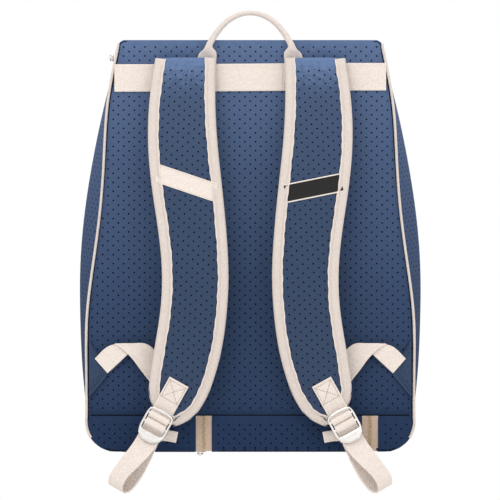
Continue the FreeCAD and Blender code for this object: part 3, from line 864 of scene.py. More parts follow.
def make_materials():
    """Every finish, from the colours of the panel."""
    p = bpy.context.scene.backpack
    height = float(row((0, 0, 0))[2]), float(row((0, 0, TOP))[2])
    # Polyester jersey laminated on neoprene: matt and finely knitted; its colour is painted lighter
    # towards the top, as painted top light.
    MATERIALS["navy"] = surface("neoprene_jersey", painted_top_light(p.cloth_low, p.cloth_high, TOP_LIGHT_SHARES),
                                0.88, KNIT, 260.0, height)
    # The harness cloth: the same jersey, with a painted highlight where the strap turns over the
    # top.
    MATERIALS["strap"] = surface("neoprene_jersey_harness",
                                 painted_top_light(p.strap_low, p.strap_high, STRAP_HIGHLIGHT_SHARES),
                                 0.88, KNIT, 260.0, height)
    for key, name, dark, roughness, weaves, spread, settings in FINISHES:
        colours = two_tone(getattr(p, key + "_colour"), dark)
        MATERIALS[key] = surface(name, colours, roughness, weaves, spread, **settings)


# ---- the bag ------------------------------------------------------------------------------
def back_grid():
    """The back panel, from the low seam to the top."""
    z = np.concatenate([np.linspace(SEAM_Z + 0.4, 440, 54), np.linspace(444, TOP, 9)])
    u = np.linspace(-1, 1, 53)
    rows = [[(t * half_width(0, h), 0.0, h) for t in u] for h in z]
    return row(rows)


def make_back():
    """The back panel, and the low pieces on each side of the shoe door."""
    p = bpy.context.scene.backpack
    grid = facing(back_grid(), (0, -1, 0))
    flat = np.stack([grid[..., 0], grid[..., 2]], axis=-1)
    sewn = float(row((0, 0, BAND_Z))[2])    # the shoulder webbing is sewn flat to the cloth
    grid = inflated(grid, (0, -1, 0), 1.2, p.back_puff / MM,
                    free=np.abs(grid[..., 2] - sewn) > 0.022)
    grid = hollowed(grid, 2.0, 4.5, (0, -1, 0), "dlr")
    panel("back", grid, (0, -1, 0), "bag", CLOTH, ("back_panel",), 3.2,
          flat=flat)
    for (side, s), edge in zip(SIDES, DOOR_ZIPS):
        rows = []
        for h in np.linspace(0.6, SEAM_Z - 0.4, 15):
            ends = sorted((edge, s * max(half_width(0, h), 143.6)))
            rows.append([(x, 0.0, h) for x in np.linspace(*ends, 17)])
        grid = hollowed(row(rows), 1.6, 4.0, (0, -1, 0), "ud")
        panel("low_back_" + side, grid, (0, -1, 0), "bag", CLOTH,
              ("lower_back_" + side,), flat=np.stack([grid[..., 0], grid[..., 2]], axis=-1))


def side_grid(y0, y1, side, low, high, rows=72, cols=19):
    """A strip of the bag's outline between two depths."""
    lines = []
    for y in np.linspace(y0, y1, cols):
        r = ring(y, low, high, rows)
        lines.append(np.column_stack([side * r[:, 0], np.full(rows, y), r[:, 1]]))
    return row(np.stack(lines, axis=1))


def make_sides():
    """The gussets and the base."""
    p = bpy.context.scene.backpack
    for side, s in SIDES:
        grid = side_grid(0.4, DIVIDE_Y - 0.2, s, 0.0, LID_Z)
        grid = inflated(grid, (s, 0, 0), 1.2, p.side_puff / MM)
        grid = hollowed(grid, 1.6, 4.0, (s, 0, 0), "lru")
        panel("gusset_" + side, grid, (s, 0, 0), "bag", CLOTH,
              ("side_gusset_" + side,))
    y = np.linspace(0.4, DIVIDE_Y - 0.2, 21)
    rows = [[(x, v, 0.0) for x in np.linspace(-f, DOOR_ZIPS[0], 15)] for v, f in zip(y, foot(y))]
    panel("base_left", row(rows), (0, 0, -1), "bag", CLOTH, ("base_panel",))
    y = np.linspace(104.2, DIVIDE_Y - 0.2, 5)
    rows = [[(x, v, 0.0) for x in np.linspace(DOOR_ZIPS[0], 148.0, 31)] for v in y]
    panel("base_front", row(rows), (0, 0, -1), "bag", CLOTH)


def make_shoe_door():
    """The door of the shoe compartment, round the low back edge and under the base."""
    left, right, reach = DOOR
    path = np.vstack([[(0, SEAM_Z - 0.6), (0, 3.0)], arc3((0, 3.0), (0.88, 0.88), (3.0, 0), 5)[1:],
                      [(reach - 0.4, 0)]])
    path = resample(path, 52)
    grid = row([[(x, y, z) for x in np.linspace(left, right, 33)] for y, z in path])
    flat = sheet_uv(grid)
    grid = hollowed(grid, 1.2, 4.0, (0, -0.5, -0.8), "ud")
    panel("shoe_door", grid, (0, -0.5, -0.8), "shoe_door", CLOTH,
          ("shoe_door",), flat=flat)


def make_lid():
    """The lid, sagging a little in its middle."""
    rows = []
    for y in np.linspace(0.6, DIVIDE_Y - 1.0, 21):
        half = ring(y, LID_Z + 0.4, TOP, 300)
        path = np.vstack([half * [-1, 1], half[::-1]])
        path = resample(path, 75)
        rows.append(np.column_stack([path[:, 0], np.full(75, y), path[:, 1]]))
    grid = row(np.stack(rows))
    sag = 1.0 - np.linspace(-1, 1, 75)[None, :] ** 2
    deep = np.sin(np.linspace(0, math.pi, 21))[:, None]
    grid[..., 2] -= 0.0022 * sag ** 0.6 * deep
    grid = hollowed(grid, 1.2, 4.0, (0, 0, 1), "ud")
    panel("lid", grid, (0, 0, 1), "lid", CLOTH, ("lid",))


def cover_side(side, rows=64, cols=15):
    """The racket cover's side, from the divider to its front edge."""
    base = ring(DIVIDE_Y + 0.5, 0.0, TOP, rows)
    profile = front_profile(400)
    grid = np.empty((rows, cols, 3))
    for i in range(rows):
        z = base[i, 1]
        for _ in range(2):
            y1 = float(np.interp(z, profile[:, 1], profile[:, 0]))
            z = float(ring(y1, count=rows)[i, 1]) if i else 0.0
        for j, y in enumerate(np.linspace(DIVIDE_Y + 0.6, y1, cols)):
            x, h = ring(y, count=rows)[i]
            grid[i, j] = side * x, y, h
    return row(grid)


def make_cover():
    """The sides, front and base of the racket cover."""
    p = bpy.context.scene.backpack
    for side, s in SIDES:
        grid = cover_side(s)
        grid = hollowed(grid, 1.2, 4.0, (s, 0, 0), "lr")
        panel("cover_" + side, grid, (s, 0, 0), "racket_cover", CLOTH)
    path = front_profile(70)
    rows = [[(u * half_width(y, z), y, z) for u in np.linspace(-1, 1, 53)] for y, z in path]
    grid = inflated(row(rows), (0, 1, 0), 1.6, p.front_puff / MM)
    grid = hollowed(grid, 1.0, 4.0, (0, 1, 0), "lr")
    panel("cover_front", grid, (0, 1, 0), "racket_cover", CLOTH, ("racket_cover",))
    y = np.linspace(DIVIDE_Y + 0.6, 162.0, 9)
    rows = [[(x, v, 0.0) for x in np.linspace(-f, f, 45)] for v, f in zip(y, foot(y))]
    panel("cover_base", row(rows), (0, 0, -1), "racket_cover", CLOTH)


def rounded_outline(half_low, half_high, low, high, radius, inset, count=96):
    """A rounded trapezium in X and Z, taken in by inset."""
    k = (half_low - half_high) / (high - low)
    lo, hi = low + inset, high - inset
    r = max(radius - inset, 2.0)
    corners = []
    for sx, z, sz in ((1, lo, 1), (1, hi, -1), (-1, hi, -1), (-1, lo, 1)):
        half = half_low - k * (z - low) - inset
        cx, cz = sx * (half - r), z + sz * r
        first = {(1, 1): -90, (1, -1): 0, (-1, -1): 90, (-1, 1): 180}[(sx, sz)]
        a = np.radians(np.linspace(first, first + 90, 9))
        corners.append(np.column_stack([cx + r * np.cos(a), cz + r * np.sin(a)]))
    loop = np.vstack([*corners, corners[0][:1]])
    return resample(loop, count + 1)[:-1]


def make_pocket():
    """The pocket on the racket cover: a domed face on a soft band, its zip along the top."""
    depth, rim = 30.0, 8.0
    face_rows = []
    for t in np.linspace(1.0, 0.02, 26):
        loop = rounded_outline(*POCKET, rim)
        middle = np.array([0.0, 162.0])
        loop = middle + (loop - middle) * t
        y = 190 + depth + 1.0 * (1 - t * t)
        face_rows.append(np.column_stack([loop[:, 0], np.full(len(loop), y), loop[:, 1]]))
    face = leant(np.array(face_rows))
    verts = row(face.reshape(-1, 3))
    rows, cols = face.shape[:2]
    faces = [tuple(f) for f in grid_faces(rows, cols, closed=True)]
    faces.append(tuple(range((rows - 1) * cols, rows * cols)))
    flat = np.array(face_rows)[..., [0, 2]].reshape(-1, 2) * MM * [-1, 1]
    sheet = new_object("pocket_face_sheet", verts, faces, None, flat)
    if sheet.data.polygons[0].normal.y < 0:
        sheet.data.flip_normals()
    made = cut_holes(sheet, "pocket_face_cloth", flat, 6.0, reseed=5)
    given(made, "racket_cover", CLOTH, "front_pocket")
    backing = new_object("pocket_face_core", verts, faces, MATERIALS["foam"])
    if backing.data.polygons[0].normal.y < 0:
        backing.data.flip_normals()
    for v in backing.data.vertices:
        v.co.y -= 0.0011
    thick = backing.modifiers.new("Thickness", "SOLIDIFY")
    thick.thickness, thick.offset = 0.0018, -1.0
    backing.data.materials.append(MATERIALS["lining"])
    thick.material_offset, thick.material_offset_rim = 1, 1
    backing = evaluated(backing, "pocket_face_lining")
    given(backing, "racket_cover", "lining_fabric")
    band = []
    turn = [(22 + rim * math.sin(a), rim - rim * math.cos(a))
            for a in np.radians((0, 20, 40, 60, 78, 90))]
    for y, inset in [(-3.0, 0.0), (2.0, 0.0), (8.9, 0.0), (19.1, 0.0), *turn]:
        loop = rounded_outline(*POCKET, inset)
        band.append(np.column_stack([loop[:, 0], np.full(len(loop), 190 + y), loop[:, 1]]))
    band = np.array(band)
    rows, cols = band.shape[:2]
    keep = []
    for f in grid_faces(rows, cols, closed=True):
        mid = band.reshape(-1, 3)[f].mean(axis=0)
        mouth = mid[2] > 261.0 and abs(mid[0]) < 78 and 199 < mid[1] < 209
        if not mouth:
            keep.append(tuple(f))
    strip = new_object("pocket_band", row(leant(band).reshape(-1, 3)), keep,
                       [MATERIALS["navy"], MATERIALS["lining"]])
    probe = strip.data.polygons[len(keep) // 2]
    centre = Vector(row(leant([(0, 205.0, 162.0)])[0]))
    if probe.normal.dot(probe.center - centre) < 0:
        strip.data.flip_normals()
    thick = strip.modifiers.new("Thickness", "SOLIDIFY")
    thick.thickness, thick.offset, thick.material_offset = 0.003, -1.0, 1
    strip = evaluated(strip, "pocket_band")
    given(strip, "racket_cover", CLOTH)
    seam = [(x, 220.6, z) for x, z in rounded_outline(*POCKET, rim + 0.2)]
    cord = tube("pocket_piping", row(leant(seam)), 1.3, MATERIALS["navy"], 8, (0.1, 1, 0.1), True)
    given(cord, "racket_cover", CLOTH)
    inner = [(x, 220.9, z) for x, z in rounded_outline(*POCKET, rim + 4.0)]
    inner = row(leant(np.vstack([inner, inner[:1]])))
    stitches("pocket_stitches", [inner], "racket_cover", "navy_thread")


def make_piping():
    """Cream piping round the harness side, and navy cord on the cover's corners."""
    for side, s in SIDES:
        half = ring(0.0, 16.0, 457.0, 90)
        path = row(np.column_stack([s * (half[:, 0] + 0.3), np.full(90, -0.2), half[:, 1]]))
        given(tube("piping_cord_" + side, path, 1.5, MATERIALS["binding"], 10),
              "bag", "cream_binding", "piping_" + side)
        y = DIVIDE_Y - 0.2
        half = ring(y, 3.0, LID_Z - 2, 90)
        path = row(np.column_stack([s * (half[:, 0] + 0.2), np.full(90, y), half[:, 1]]))
        given(tube("gusset_cord_" + side, path, 1.4, MATERIALS["navy"], 8),
              "bag", CLOTH)
        edge = row([(s * (half_width(y, z) - 0.6), y - 0.6, z) for y, z in front_profile(90)[2:-2]])
        given(tube("cover_cord_" + side, edge, 1.7, MATERIALS["navy"], 8, (1, 0.1, 0.1)),
              "racket_cover", CLOTH)
    # A dark foam cord set in the low seam's gap: painted shade of the seam's groove.
    seam = row([(x, 1.9, SEAM_Z) for x in np.linspace(-180, 180, 61)])
    given(tube("low_seam", seam, 0.9, MATERIALS["foam"], 6), "bag",
          CLOTH)
    line = row([(x, -0.1, SEAM_Z + 3.4) for x in np.linspace(-178, 178, 80)])
    stitches("back_stitches", [line], "bag", "navy_thread")


# ---- harness ------------------------------------------------------------------------------
def strap_edges(z):
    """The left strap's outer and inner edge at a height, down to its tip."""
    zs = [h for h, _, _ in STRAP][::-1]
    outer = float(through(zs, [a for _, a, _ in STRAP][::-1], max(z, STRAP_FOOT)))
    inner = float(through(zs, [b for _, _, b in STRAP][::-1], max(z, STRAP_FOOT)))
    if z < STRAP_FOOT:
        outer = float(np.interp(z, (27, 52, STRAP_FOOT), (-89, -109.2, -113.2)))
        inner = float(np.interp(z, (27, 40, STRAP_FOOT), (-89, -62, -47)))
    return outer, inner


def strap_back(z):
    """Depth of the strap's back face at a height."""
    return float(through([h for _, h in DROP][::-1], [y for y, _ in DROP][::-1], z))


def strap_normal(z):
    """The direction that the strap's front faces at a height."""
    slope = (strap_back(z + 2) - strap_back(z - 2)) / 4
    n = np.array([0.0, -1.0, slope])
    return n / np.linalg.norm(n)


def strap_grids():
    """The left strap's front and back surfaces, from the folded top to the tip."""
    u = np.linspace(-1, 1, 23)
    full = 0.62 + 0.38 * (1 - u ** 4)
    front, back = [], []
    for z in (*np.linspace(STRAP_TOP, STRAP_FOOT, 90), *np.linspace(62, 27.6, 13)):
        a, b = strap_edges(z)
        x = a + (b - a) * (u + 1) / 2
        middle = strap_back(z) - STRAP_THICK / 2
        half = STRAP_THICK / 2 * full
        front.append(np.column_stack([x, middle - half, np.full(len(u), z)]))
        back.append(np.column_stack([x, middle + half, np.full(len(u), z)]))
    return np.array(front), np.array(back)


def strap_outline():
    """The left strap's edge as a line, down its outer side, round the tip and up the inner side."""
    zs = np.concatenate([np.linspace(440, STRAP_FOOT, 90), np.linspace(60, 30, 8)])
    outer = [(strap_edges(z)[0], z) for z in zs]
    inner = [(strap_edges(z)[1], z) for z in zs[::-1]]
    path = resample(np.array([*outer, (-89.0, 27.0), *inner]), 230)
    for _ in range(6):
        path[1:-1] = (path[:-2] + 2 * path[1:-1] + path[2:]) / 4
    return np.column_stack([path[:, 0], [strap_back(z) - STRAP_THICK / 2 for z in path[:, 1]],
                            path[:, 1]])


def make_strap(side, s):
    """A padded strap: perforated cloth, foam, binding, stitches and the piece across it."""
    p = bpy.context.scene.backpack
    body = "strap_" + side
    front, back = (row(mirror(g, s)) for g in strap_grids())
    flat = np.stack([front[..., 0], np.repeat(
        lengths(front[:, 11])[:, None], front.shape[1], 1)], axis=-1)
    apart = np.minimum(np.linalg.norm(front - front[:, :1], axis=-1),
                       np.linalg.norm(front - front[:, -1:], axis=-1))
    free = (apart > 0.0095) & (front[..., 2] < front[0, 0, 2] - 0.004)
    full = inflated(front, (0, -1, 0), 3.0, p.strap_puff / MM,
                    free=free if s < 0 else free[:, ::-1])
    if np.linalg.norm(full[:, 0] - front[:, 0]) > 0.02:
        full = full[:, ::-1]
    cloth = perforated("strap_cloth_" + side, full, (0, -1, 0), flat, 6.5, 0.05 * s, cloth="strap")
    given(cloth, body, CLOTH, "strap_pad_" + side)
    lowered = full - facing_normals(full, (0, -1, 0)) * 1.15 * MM
    core = recalculated(closed_between(
        "strap_foam_" + side, lowered, back,
        (MATERIALS["foam"], MATERIALS["navy"], MATERIALS["navy"])))
    given(core, body, CLOTH)
    a, b = strap_edges(STRAP_TOP)
    u = np.linspace(-1, 1, 25)
    fold = [(a + 1 + (b - a - 2) * (t + 1) / 2, strap_back(STRAP_TOP) - STRAP_THICK / 2, 436.3)
            for t in u]
    given(tube("strap_fold_" + side, row(mirror(fold, s)), 5.0 * (0.62 + 0.38 * (1 - u ** 4)),
               MATERIALS["strap"], 20, (0, -1, 0)), body, CLOTH)

    path = mirror(strap_outline(), s)
    if s > 0:
        path = path[::-1]
    ups = np.array([strap_normal(z) for z in path[:, 2]])
    out, up = frames_along(path, ups)
    arm = np.array([(-10.5, 5.3), (-8, 5.05), (-5, 4.65), (-2, 4.2), (0, 3.3), (0.9, 1.6),
                    (1.1, 0)])
    inner = np.array([(0.3, 0), (0.2, 1.4), (-0.5, 2.8), (-2.2, 3.5), (-5, 3.95), (-8, 4.35),
                      (-10.5, 4.6)])
    section = np.vstack([arm, arm[-2::-1] * [1, -1], inner[::-1] * [1, -1], inner[1:]])
    step = np.arange(len(path))
    wobble = 0.32 * np.sin(step * 1.7) + 0.25 * np.sin(step * 0.63 + s)
    profiles = np.repeat(section[None], len(path), axis=0)
    deep = profiles[..., 0] < -9
    profiles[..., 0] += deep * wobble[:, None]
    given(sweep("binding_tape_" + side, row(path), out, up, profiles * MM, MATERIALS["binding"]),
          body, "cream_binding", "strap_binding_" + side)
    selvedge = row(path - out * (10.2 - wobble)[:, None] + up * 5.3)
    given(tube("binding_selvedge_" + side, selvedge, 0.75, MATERIALS["webbing"], 8, (0, -1, 0)),
          body, "cream_binding")
    row_line = row(path - out * 7.6 + up * 5.15)[2:-2]
    stitches("binding_stitches_" + side, [row_line], body)

    tree = BVHTree.FromPolygons([Vector(v) for v in full.reshape(-1, 3)],
                                [list(map(int, f)) for f in grid_faces(*full.shape[:2])])

    def on_strap(x, z, lift):
        origin = Vector(row(((x, -200, z),))[0])
        hit = tree.ray_cast(origin, Vector((0, 1, 0)))[0]
        y = hit.y if hit else origin.y + 0.17
        return np.array([origin.x, y, origin.z]) + strap_normal(z) * lift * MM

    def across_strap(name, middle, slope, width, lift, material, slot_name, nodes=(), thick=0.8):
        left, right = (strap_edges(middle - slope * sx)[i] for i, sx in ((0, -35), (1, 35)))
        xs = np.linspace(left + 7.5, right - 7.5, 21)
        zs = middle - slope * (xs + 70)
        line = np.array([on_strap(-s * x, z, lift) for x, z in zip(xs, zs)])
        side_dir, up_dir = frames_along(line, np.array([strap_normal(z) for z in zs]))
        obj = sweep(name, line, side_dir, up_dir, woven_profile(width, thick), MATERIALS[material])
        given(obj, body, slot_name, *nodes)
        return line, side_dir, up_dir

    if s < 0:
        line, sd, ud = across_strap("accent_tape", 300.5, 0.335, 20.6, 0.25, "webbing",
                                    "cream_webbing", ("strap_tape_left",))
        stitches("accent_stitches", [line + sd * 0.0088 + ud * 0.0004,
                                     line - sd * 0.0088 + ud * 0.0004], body)
    else:
        line, sd, ud = across_strap("accent_label", 295.0, 0.2, 19.6, 0.2, "label", "black_label",
                                    ("strap_label_right",))
        for name, shift in (("label_edge_high", 0.0098), ("label_edge_low", -0.0098)):
            edge = sweep(name, line + sd * shift + ud * 0.0002, sd, ud, woven_profile(1.5, 0.9),
                         MATERIALS["webbing"])
            given(edge, body, "cream_webbing")
    refined("strap_root_" + side, "strap_root_cloth_" + side, "bag", CLOTH, "navy", 0.7)


def facing_normals(grid, outward):
    """Unit normals at a grid's points, on its outward side."""
    n = grid_normals(grid)
    return n if np.dot(n.reshape(-1, 3).mean(axis=0), outward) > 0 else -n


def flat_path(path, half):
    """A ribbon's centre line, half a thickness off a path in the buckle's U-N plane."""
    path = np.asarray(path, float)
    t = np.gradient(path, axis=0)
    t /= np.linalg.norm(t, axis=1, keepdims=True)
    return path + np.column_stack([-t[:, 1], t[:, 0]]) * half


def buckle_ribbon(name, path, s, width, count):
    """Webbing whose centre line lies in the buckle's U-N plane."""
    line = smooth(path, count)
    points = on_buckle(np.column_stack([line[:, 0], np.zeros(count), line[:, 1]]), s)
    across = on_buckle((0.0, 1.0, 0.0), s) - on_buckle((0.0, 0.0, 0.0), s)
    t = np.gradient(points, axis=0)
    t /= np.linalg.norm(t, axis=1, keepdims=True)
    up = np.cross(np.broadcast_to(across, t.shape), t)
    return sweep(name, row(points), np.broadcast_to(across, t.shape), up,
                 woven_profile(width, WEB_THICK), MATERIALS["webbing"])


def rounded_loop(corners, count):
    """A closed outline in a plane from (u, v, radius) corners, evenly divided."""
    corners = [np.array(c, float) for c in corners]
    points = []
    for i, c in enumerate(corners):
        before, after = corners[i - 1][:2], corners[(i + 1) % len(corners)][:2]
        a = (before - c[:2]) / np.linalg.norm(before - c[:2])
        b = (after - c[:2]) / np.linalg.norm(after - c[:2])
        first, last = c[:2] + a * c[2], c[:2] + b * c[2]
        t = np.linspace(0, 1, 9)[:, None]
        k = c[:2] + (a + b) * c[2] * 0.12
        points.append((1 - t) ** 2 * first + 2 * t * (1 - t) * k + t * t * last)
    loop = np.vstack([*points, points[0][:1]])
    return resample(loop, count + 1)[:-1]


def by_angle(loop, centre, angles):
    """The loop's points in given directions from a centre."""
    d = loop - centre
    a, r = np.arctan2(d[:, 1], d[:, 0]), np.linalg.norm(d, axis=1)
    order = np.argsort(a)
    radius = np.interp(angles, a[order], r[order], period=2 * math.pi)
    return centre + np.column_stack([np.cos(angles), np.sin(angles)]) * radius[:, None]


def make_buckle(side, s):
    """The cast ladder lock: a rounded frame with a broad thumb lip, and two bars."""
    count = 96
    outer = rounded_loop([(-18.2, -13, 4), (-20.2, 0, 9), (-18.2, 13, 4), (-14, 15.7, 4),
                          (10, 15.7, 6), (19.4, 11, 8), (20.6, 0, 8), (19.4, -11, 8),
                          (10, -15.7, 6), (-14, -15.7, 4)], 600)
    inner = rounded_loop([(-15.6, -13.2, 2.2), (-16.8, 0, 8), (-15.6, 13.2, 2.2),
                          (8.6, 13.2, 1.6), (8.6, -13.2, 1.6)], 600)
    centre = np.array([-3.0, 0.0])
    angles = np.linspace(-math.pi, math.pi, count + 1)[:-1] + 0.01
    o, i = by_angle(outer, centre, angles), by_angle(inner, centre, angles)
    section = [(0.0, 0.0), (0.0, 0.9), (0.08, 1.45), (0.22, 1.75), (0.5, 1.9), (0.75, 1.75),
               (0.92, 1.3), (1.0, 0.6), (1.0, -0.6), (0.92, -1.3), (0.75, -1.7), (0.5, -1.75),
               (0.22, -1.7), (0.08, -1.45), (0.0, -0.9)]
    verts = []
    for a, b in zip(o, i):
        lip = np.clip((a[0] - 9.0) / 9.0, 0, 1)
        for t, n in section:
            q = b + (a - b) * t
            swell = 0.9 * lip * math.sin(math.pi * min(t, 1.0)) * (1 if n > 0 else -0.2)
            dip = -1.0 * lip * t ** 3
            verts.append((q[0], q[1], n + swell + dip))
    m = len(section)
    faces = []
    for k in range(count):
        for j in range(m):
            a, b = k * m, ((k + 1) % count) * m
            faces.append((a + j, a + (j + 1) % m, b + (j + 1) % m, b + j))
    frame_piece = new_object("buckle_frame_" + side, row(on_buckle(verts, s)), faces,
                             MATERIALS["zinc"])
    recalculated(frame_piece)
    soft = frame_piece.modifiers.new("Smooth", "SUBSURF")
    soft.levels = soft.render_levels = 1
    frame_piece = evaluated(frame_piece, "buckle_frame_" + side)
    given(frame_piece, "buckle_" + side, "silver_die_cast", "ladder_lock_" + side)
    for name, u, radius in (("sewn_bar_", -10.5, 1.5), ("grip_bar_", -0.5, 1.6)):
        v = np.linspace(-14.3, 14.3, 15)
        line = row(on_buckle(np.column_stack([np.full(15, u), v, np.zeros(15)]), s))
        given(tube(name + side, line, radius, MATERIALS["zinc"], 14, (0, 1, 0)),
              "buckle_" + side, "silver_die_cast")

    sewn = [(-56, -4.8), (-46, -5.6), (-36, -6.4), (-28, -7.2), (-21, -8.2), (-16.4, -8.6),
            (-13.5, -7.2), (-12.6, -4.2), (-12.5, -1.2), (-12.0, 1.0), (-10.4, 2.0), (-8.4, 1.4),
            (-7.2, -0.4), (-7.4, -3.0), (-9.0, -5.0), (-11.0, -5.6)]
    given(buckle_ribbon("sewn_webbing_" + side, flat_path(sewn, WEB_THICK / 2), s, WEB_WIDTH, 90),
          "strap_" + side, "cream_webbing", "buckle_web_" + side)
    long = [(9, -8.6), (2, -8.0), (-3.0, -6.4), (-5.0, -3.6), (-5.6, -0.6), (-4.6, 2.0),
            (-2.0, 3.4), (0.8, 3.2), (2.9, 1.6), (4.0, -1.0), (6.0, -3.4), (10, -4.4), (22, -3.6),
            (40, 1.0), (60, 3.4), (73, 2.2), (80.5, -3.0), (82.5, -9.0), (79.5, -14.5),
            (67, -17.5), (40, -16.0), (20, -13.5), (4, -13.0)]
    line = smooth(flat_path(long, -WEB_THICK / 2), 170)
    twist = np.radians(42) * np.clip((line[:, 0] - 12) / 50, 0, 1)
    drift = -8.5 * np.clip((line[:, 0] - 18) / 64, 0, 1) ** 1.2
    edges = []
    for v in (-WEB_WIDTH / 2, WEB_WIDTH / 2):
        edges.append(on_buckle(np.column_stack([
            line[:, 0], v * np.cos(twist) - line[:, 1] * np.sin(twist) + drift,
            v * np.sin(twist) + line[:, 1] * np.cos(twist)]), s))
    given(between_rails("adjuster_webbing_" + side, *edges, 170),
          "buckle_" + side, "cream_webbing", "adjuster_web_" + side)

    box = [(-53, -10), (-53, 10), (-32.5, 10), (-32.5, -10), (-53, -10)]
    cross = [[(-53, -10), (-32.5, 10)], [(-53, 10), (-32.5, -10)]]
    lines = []
    for line in [box[:2], box[1:3], box[2:4], box[3:], *cross]:
        uv = resample(line, 12)
        n = np.interp(uv[:, 0], (-54, -36, -28), (-5.0, -6.4, -7.2)) + 1.75
        lines.append(row(on_buckle(np.column_stack([uv, n]), s)))
    stitches("box_stitches_" + side, lines, "strap_" + side, "box_thread", 0.0024,
             (0.42, 0.42, 1.1))
    tab = mirror([(-102, -16, 19), (-92, -15.4, 18.4), (-81.8, -15, 16.6)], s)
    given(webbing("strap_tip_tab_" + side, tab, (0, -1, 0), 12.5, 1.8, MATERIALS["webbing"]),
          "strap_" + side, "cream_webbing")


def between_rails(name, a, b, count=60):
    """Webbing between two edge lines of bag millimetres, so that it can twist and fold."""
    a, b = smooth(a, count), smooth(b, count)
    middle, span = (a + b) / 2, b - a
    width = np.linalg.norm(span, axis=1)
    side = span / width[:, None]
    t = np.gradient(middle, axis=0)
    t /= np.linalg.norm(t, axis=1, keepdims=True)
    up = np.cross(side, t)
    up /= np.linalg.norm(up, axis=1, keepdims=True)
    profiles = np.array([woven_profile(w, WEB_THICK) for w in width])
    return sweep(name, row(middle), side, up, profiles, MATERIALS["webbing"])


def make_anchor(side, s):
    """The triangle in the side seam, and the webbing that folds over behind the strap."""
    refined("anchor_tab_" + side, "anchor_triangle_" + side, "bag", CLOTH, "strap", 1.5, 3)
    high = np.linspace((-179.6, 121.5), (-162.6, 92), 12)
    high = np.vstack([high, np.linspace((-162.2, 88.5), (-179.6, 66.5), 10)])
    face = [[(-179.8 + (x + 179.8) * t, -4.45, z) for t in np.linspace(0, 1, 9)] for x, z in high]
    face = row(mirror(face, s))
    cloth = perforated("anchor_triangle_cloth_" + side, face, (0, -1, 0),
                       np.stack([face[..., 0], face[..., 2]], axis=-1), 2.6, 0.3 * s, 0.3, "strap")
    given(cloth, "bag", CLOTH)
    outer = mirror([(-174, -4.8, 104.5), (-167, -5.4, 112), (-159.5, -6.8, 118),
                    (-150, -8.0, 121.0), (-141, -6.6, 121.4), (-134, -5.2, 120)], s)
    inner = mirror([(-159.5, -4.8, 88), (-153, -5.6, 94), (-146, -7.4, 100.5),
                    (-138, -8.4, 108), (-130, -7.0, 114), (-124, -5.0, 117)], s)
    curl = between_rails("anchor_curl_" + side, outer, inner)
    given(curl, "bag", "cream_webbing")
    outer = mirror([(-151, -9.2, 121.4), (-141, -10.4, 121.9), (-130, -11, 121.9),
                    (-117, -10.5, 121.4), (-107, -8.6, 114.5), (-94, -7.2, 96),
                    (-80, -6.8, 75), (-72, -6.8, 62)], s)
    inner = mirror([(-152.5, -9.0, 120.6), (-146, -10.4, 117), (-139.5, -11, 112),
                    (-133, -11, 105.5), (-124, -9.8, 93.5), (-113, -8.2, 79.4),
                    (-101, -7.0, 62), (-93, -6.8, 49)], s)
    web = between_rails("anchor_webbing_" + side, outer, inner)
    given(web, None, "cream_webbing", "anchor_web_" + side)
    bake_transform(web)
    edge = mirror([(-177, -4.8, 117), (-165.2, -4.8, 92.5), (-164.6, -4.8, 88),
                   (-177.5, -4.8, 70)], s)
    second = edge - mirror([(3.0, 0, 0)], s) * [1, 0, 0]
    stitches("triangle_stitches_" + side, [row(edge), row(second)], "bag", "navy_thread")


def make_handle():
    """Webbing rolled into a round grip between two flat ends sewn under the strap tops."""
    left = [(-48.5, -2.7, 413), (-48.5, -2.7, 428), (-48.6, -2.9, 439), (-46.4, -4.6, 447.5),
            (-46.2, -6.0, 453.5), (-43.4, -6.0, 460), (-37.2, -6.0, 469.5), (-29, -6.0, 479),
            (-15.5, -6.0, 488)]
    path = smooth([*left, (0, -6.0, 491.2), *[(-x, y, z) for x, y, z in left[::-1]]], 150)
    half = lengths(path)[-1] / 2
    s = np.minimum(lengths(path), 2 * half - lengths(path))
    wide = np.interp(s, (0, 26, 31, 35, 39, 41.5, 46, 62, half),
                     (10.4, 10.4, 9.5, 8.3, 5.2, 3.9, 3.4, 3.2, 2.6))
    deep = np.interp(s, (0, 26, 31, 35, 39, 46, 62, half),
                     (0.85, 0.9, 1.4, 1.9, 2.7, 3.2, 3.3, 2.7))
    side, up = frames_along(path, (0, -1, 0))
    t = np.arange(20) * 2 * math.pi / 20
    ripple = 1 + 0.05 * np.cos(2 * t + 0.6)
    profiles = np.stack([np.cos(t) * ripple * wide[:, None], np.sin(t) * ripple * deep[:, None]],
                        axis=-1)
    grip = sweep("rolled_handle", row(path), side, up, profiles * MM, MATERIALS["handle"])
    given(grip, None, "cream_webbing", "grab_handle", "grab_handle_ends")
    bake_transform(grip)
    line = row(path + up * (deep + 0.1)[:, None] + side * (0.45 * wide)[:, None])[40:-40]
    stitches("handle_stitches", [line], "grab_handle")
    band = [(x, -1.3 + 0.2 * math.sin(x / 19.0), BAND_Z + 0.7 * math.sin(x / 90))
            for x in np.linspace(-152, 152, 60)]
    given(webbing("shoulder_webbing", band, (0, -1, 0), 31.0, 1.7, MATERIALS["webbing"], 100),
          "bag", "cream_webbing", "shoulder_band")
    seam = [row([(x, -2.3, z) for z in np.linspace(405, 433, 20)]) for x in (38.5, 36.0, -36.5)]
    stitches("band_stitches", seam, "bag")


